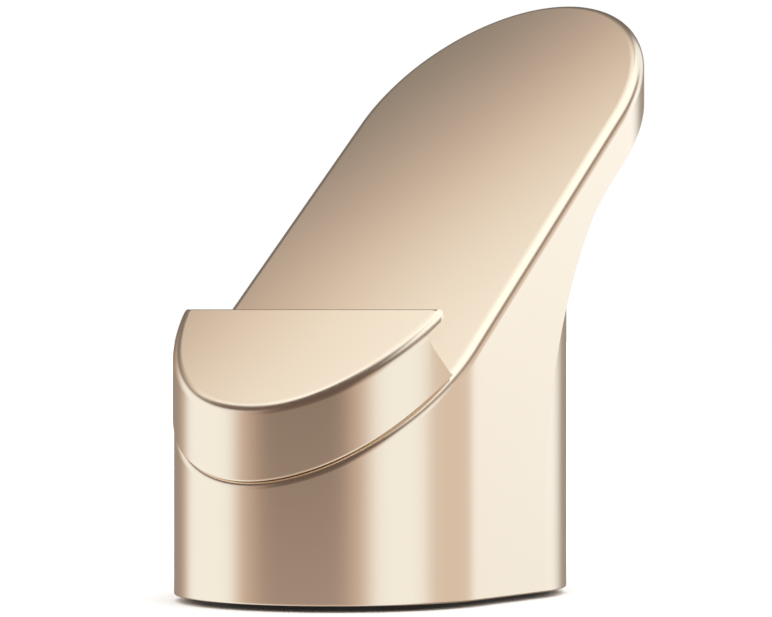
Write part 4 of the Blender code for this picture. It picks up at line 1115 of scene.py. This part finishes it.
def surroundings():
    """Upright softboxes round the horizon with warm edges, dark gaps between them and a bright ceiling."""
    sky = Sky(CAMERA_AZIMUTH)
    sky.lay(DIM)
    sky.lay(SHADE, sky.band(-20, 40, 66, high=24))
    sky.lay(GROUND, sky.band(-20, 60, 80, high=-9, soft=10))
    sky.lay(BROWN, sky.band(-40, 50, 80, low=21, high=58, soft=10))
    sky.lay(WARM, sky.band(-101, 29, 55, high=LEVEL_TOP))
    sky.lay(BRIGHT, sky.band(-102, 20, 34, high=LEVEL_TOP))
    sky.lay(WARM, sky.band(45, 28, 46, high=LEVEL_TOP))
    sky.lay(TAN, sky.band(88, 36, 60, high=LEVEL_TOP))
    sky.lay(BRIGHT, sky.band(44, 14, 29, high=LEVEL_TOP))
    sky.lay(BRIGHT, sky.band(128, 16, 24, high=LEVEL_TOP))
    sky.lay(GLOW, sky.band(128, 16, 24, low=6, high=LEVEL_TOP, soft=12))
    sky.lay(DEEP, sky.band(180, 26, 52, high=LEVEL_TOP))
    sky.lay(DIM, sky.band(140, 60, 80, high=-24, soft=8))
    sky.lay(GLARE, sky.band(95, 75, 100, low=50, soft=8))
    sky.lay(BRIGHT, sky.band(138, 11, 19, low=18, high=56, soft=6))
    sky.lay(SHADE, sky.band(184, 24, 36, low=14, high=66, soft=10))
    sky.lay(GLARE, sky.band(-105, 30, 45, low=56, soft=8))
    sky.lay(GLARE, sky.band(0, 200, 220, low=72, soft=8))
    sky.finish()


STUDIO_RADIUS = 4.5

# The graded card: (position, colour) stops, its place and the ramp's lengths on it
CARD_STOPS = ((0.0, (0.19, 0.18, 0.165)), (0.14, (0.265, 0.24, 0.215)), (0.27, (0.385, 0.32, 0.287)),
              (0.41, (0.555, 0.435, 0.375)), (0.55, (0.72, 0.575, 0.475)), (0.70, (0.875, 0.775, 0.66)),
              (0.85, (0.98, 0.93, 0.85)), (1.0, (1.06, 1.07, 1.03)))
CARD_DISTANCE = 0.17
CARD_HALF = 0.11
CARD_FADE = (-0.0284, 0.0174)       # where the card's ramp starts and ends, along its slanted direction
CARD_BEND = (0.014, 0.0275, 0.0087)  # between these heights the ramp shifts by the last length


def card_place():
    """Square to the line of sight from the camera as the sloping face mirrors it."""
    normal = Vector((0, -math.sin(SLOPE), math.cos(SLOPE)))
    middle = Vector((0, *on_slope(25 * MM, 0)))
    eye = Vector(CAMERA_PLACE)
    mirrored = eye - normal * 2 * (eye - middle).dot(normal)
    ahead = (middle - mirrored).normalized()
    azimuth = math.radians(CAMERA_AZIMUTH)
    right = Vector((math.cos(azimuth), math.sin(azimuth), 0))
    right = right - normal * 2 * right.dot(normal)
    right = (right - ahead * right.dot(ahead)).normalized()
    down = ahead.cross(right)
    mirrored_up = Vector((0, 0, 1)) - normal * 2 * normal.z
    if down.dot(mirrored_up) > 0:
        down = -down
    place = Matrix((right, down, ahead)).transposed().to_4x4()
    place.translation = middle + ahead * CARD_DISTANCE
    return place


def card_material():
    """A colour ramp along a slant, shifted where it faces the cap."""
    material, tree, light = glowing("graded_card")
    where = node(tree, "TexCoord").outputs["Object"]
    slant = node(tree, "VectorMath", {0: where, 1: (0.6, 0.8, 0)}, operation="DOT_PRODUCT")
    height = node(tree, "SeparateXYZ", {"Vector": where}).outputs["Y"]
    low, high, most = CARD_BEND
    shift = node(tree, "MapRange", {"Value": height, "From Min": low, "From Max": high, "To Max": most},
                 interpolation_type="SMOOTHSTEP")
    bent = node(tree, "Math", {0: slant.outputs["Value"], 1: shift.outputs["Result"]}, operation="SUBTRACT")
    start, end = CARD_FADE
    fade = node(tree, "MapRange", {"Value": bent.outputs[0], "From Min": start, "From Max": end})
    colour = colour_ramp(tree, fade.outputs["Result"], CARD_STOPS)
    tree.links.new(colour, light.inputs["Color"])
    return material


def square(half):
    """Corners of a level square round the origin."""
    return [Vector((x * half, y * half, 0)) for x, y in ((-1, -1), (1, -1), (1, 1), (-1, 1))]


def gradient_card():
    """A graded card over the sloping faces, placed where they mirror it to the camera."""
    card = from_faces("graded_card", [square(CARD_HALF)])
    card.matrix_world = card_place()
    card.data.materials.append(card_material())
    card.visible_camera = False
    card.visible_diffuse = False
    card.visible_shadow = False
    card.visible_transmission = False


def studio():
    camera()
    surroundings()
    gradient_card()
    floor = from_faces("floor", [square(STUDIO_RADIUS)])
    floor.data.materials.append(new_material("floor_white", (0.92, 0.92, 0.92), 0.9)[0])
    floor.visible_glossy = False
    dome()
    sun = bpy.data.lights.new("overhead", "SUN")
    sun.energy = 3.2
    sun.angle = math.radians(120)
    link("overhead", sun).visible_glossy = False


def dome():
    """A white shell round the studio that only the camera and clear pieces see."""
    work = bmesh.new()
    bmesh.ops.create_uvsphere(work, u_segments=48, v_segments=24, radius=STUDIO_RADIUS)
    mesh = bpy.data.meshes.new("backdrop")
    work.to_mesh(mesh)
    work.free()
    obj = link("backdrop", mesh)
    mesh.materials.append(glowing("backdrop_white")[0])
    obj.visible_glossy = False
    obj.visible_diffuse = False
    obj.visible_shadow = False
    return obj


studio()
MADE = all_materials()
dress_carried_over()
body_piece()
cap_piece()
foot_piece()
tip_piece()
seal_piece()
nozzle_housing_piece()
nozzle_screw_pieces()
disc_pieces()
foam_pieces()
button_piece()
light_guide_piece()
usb_pieces()
bpy.context.scene.view_settings.view_transform = "Standard"
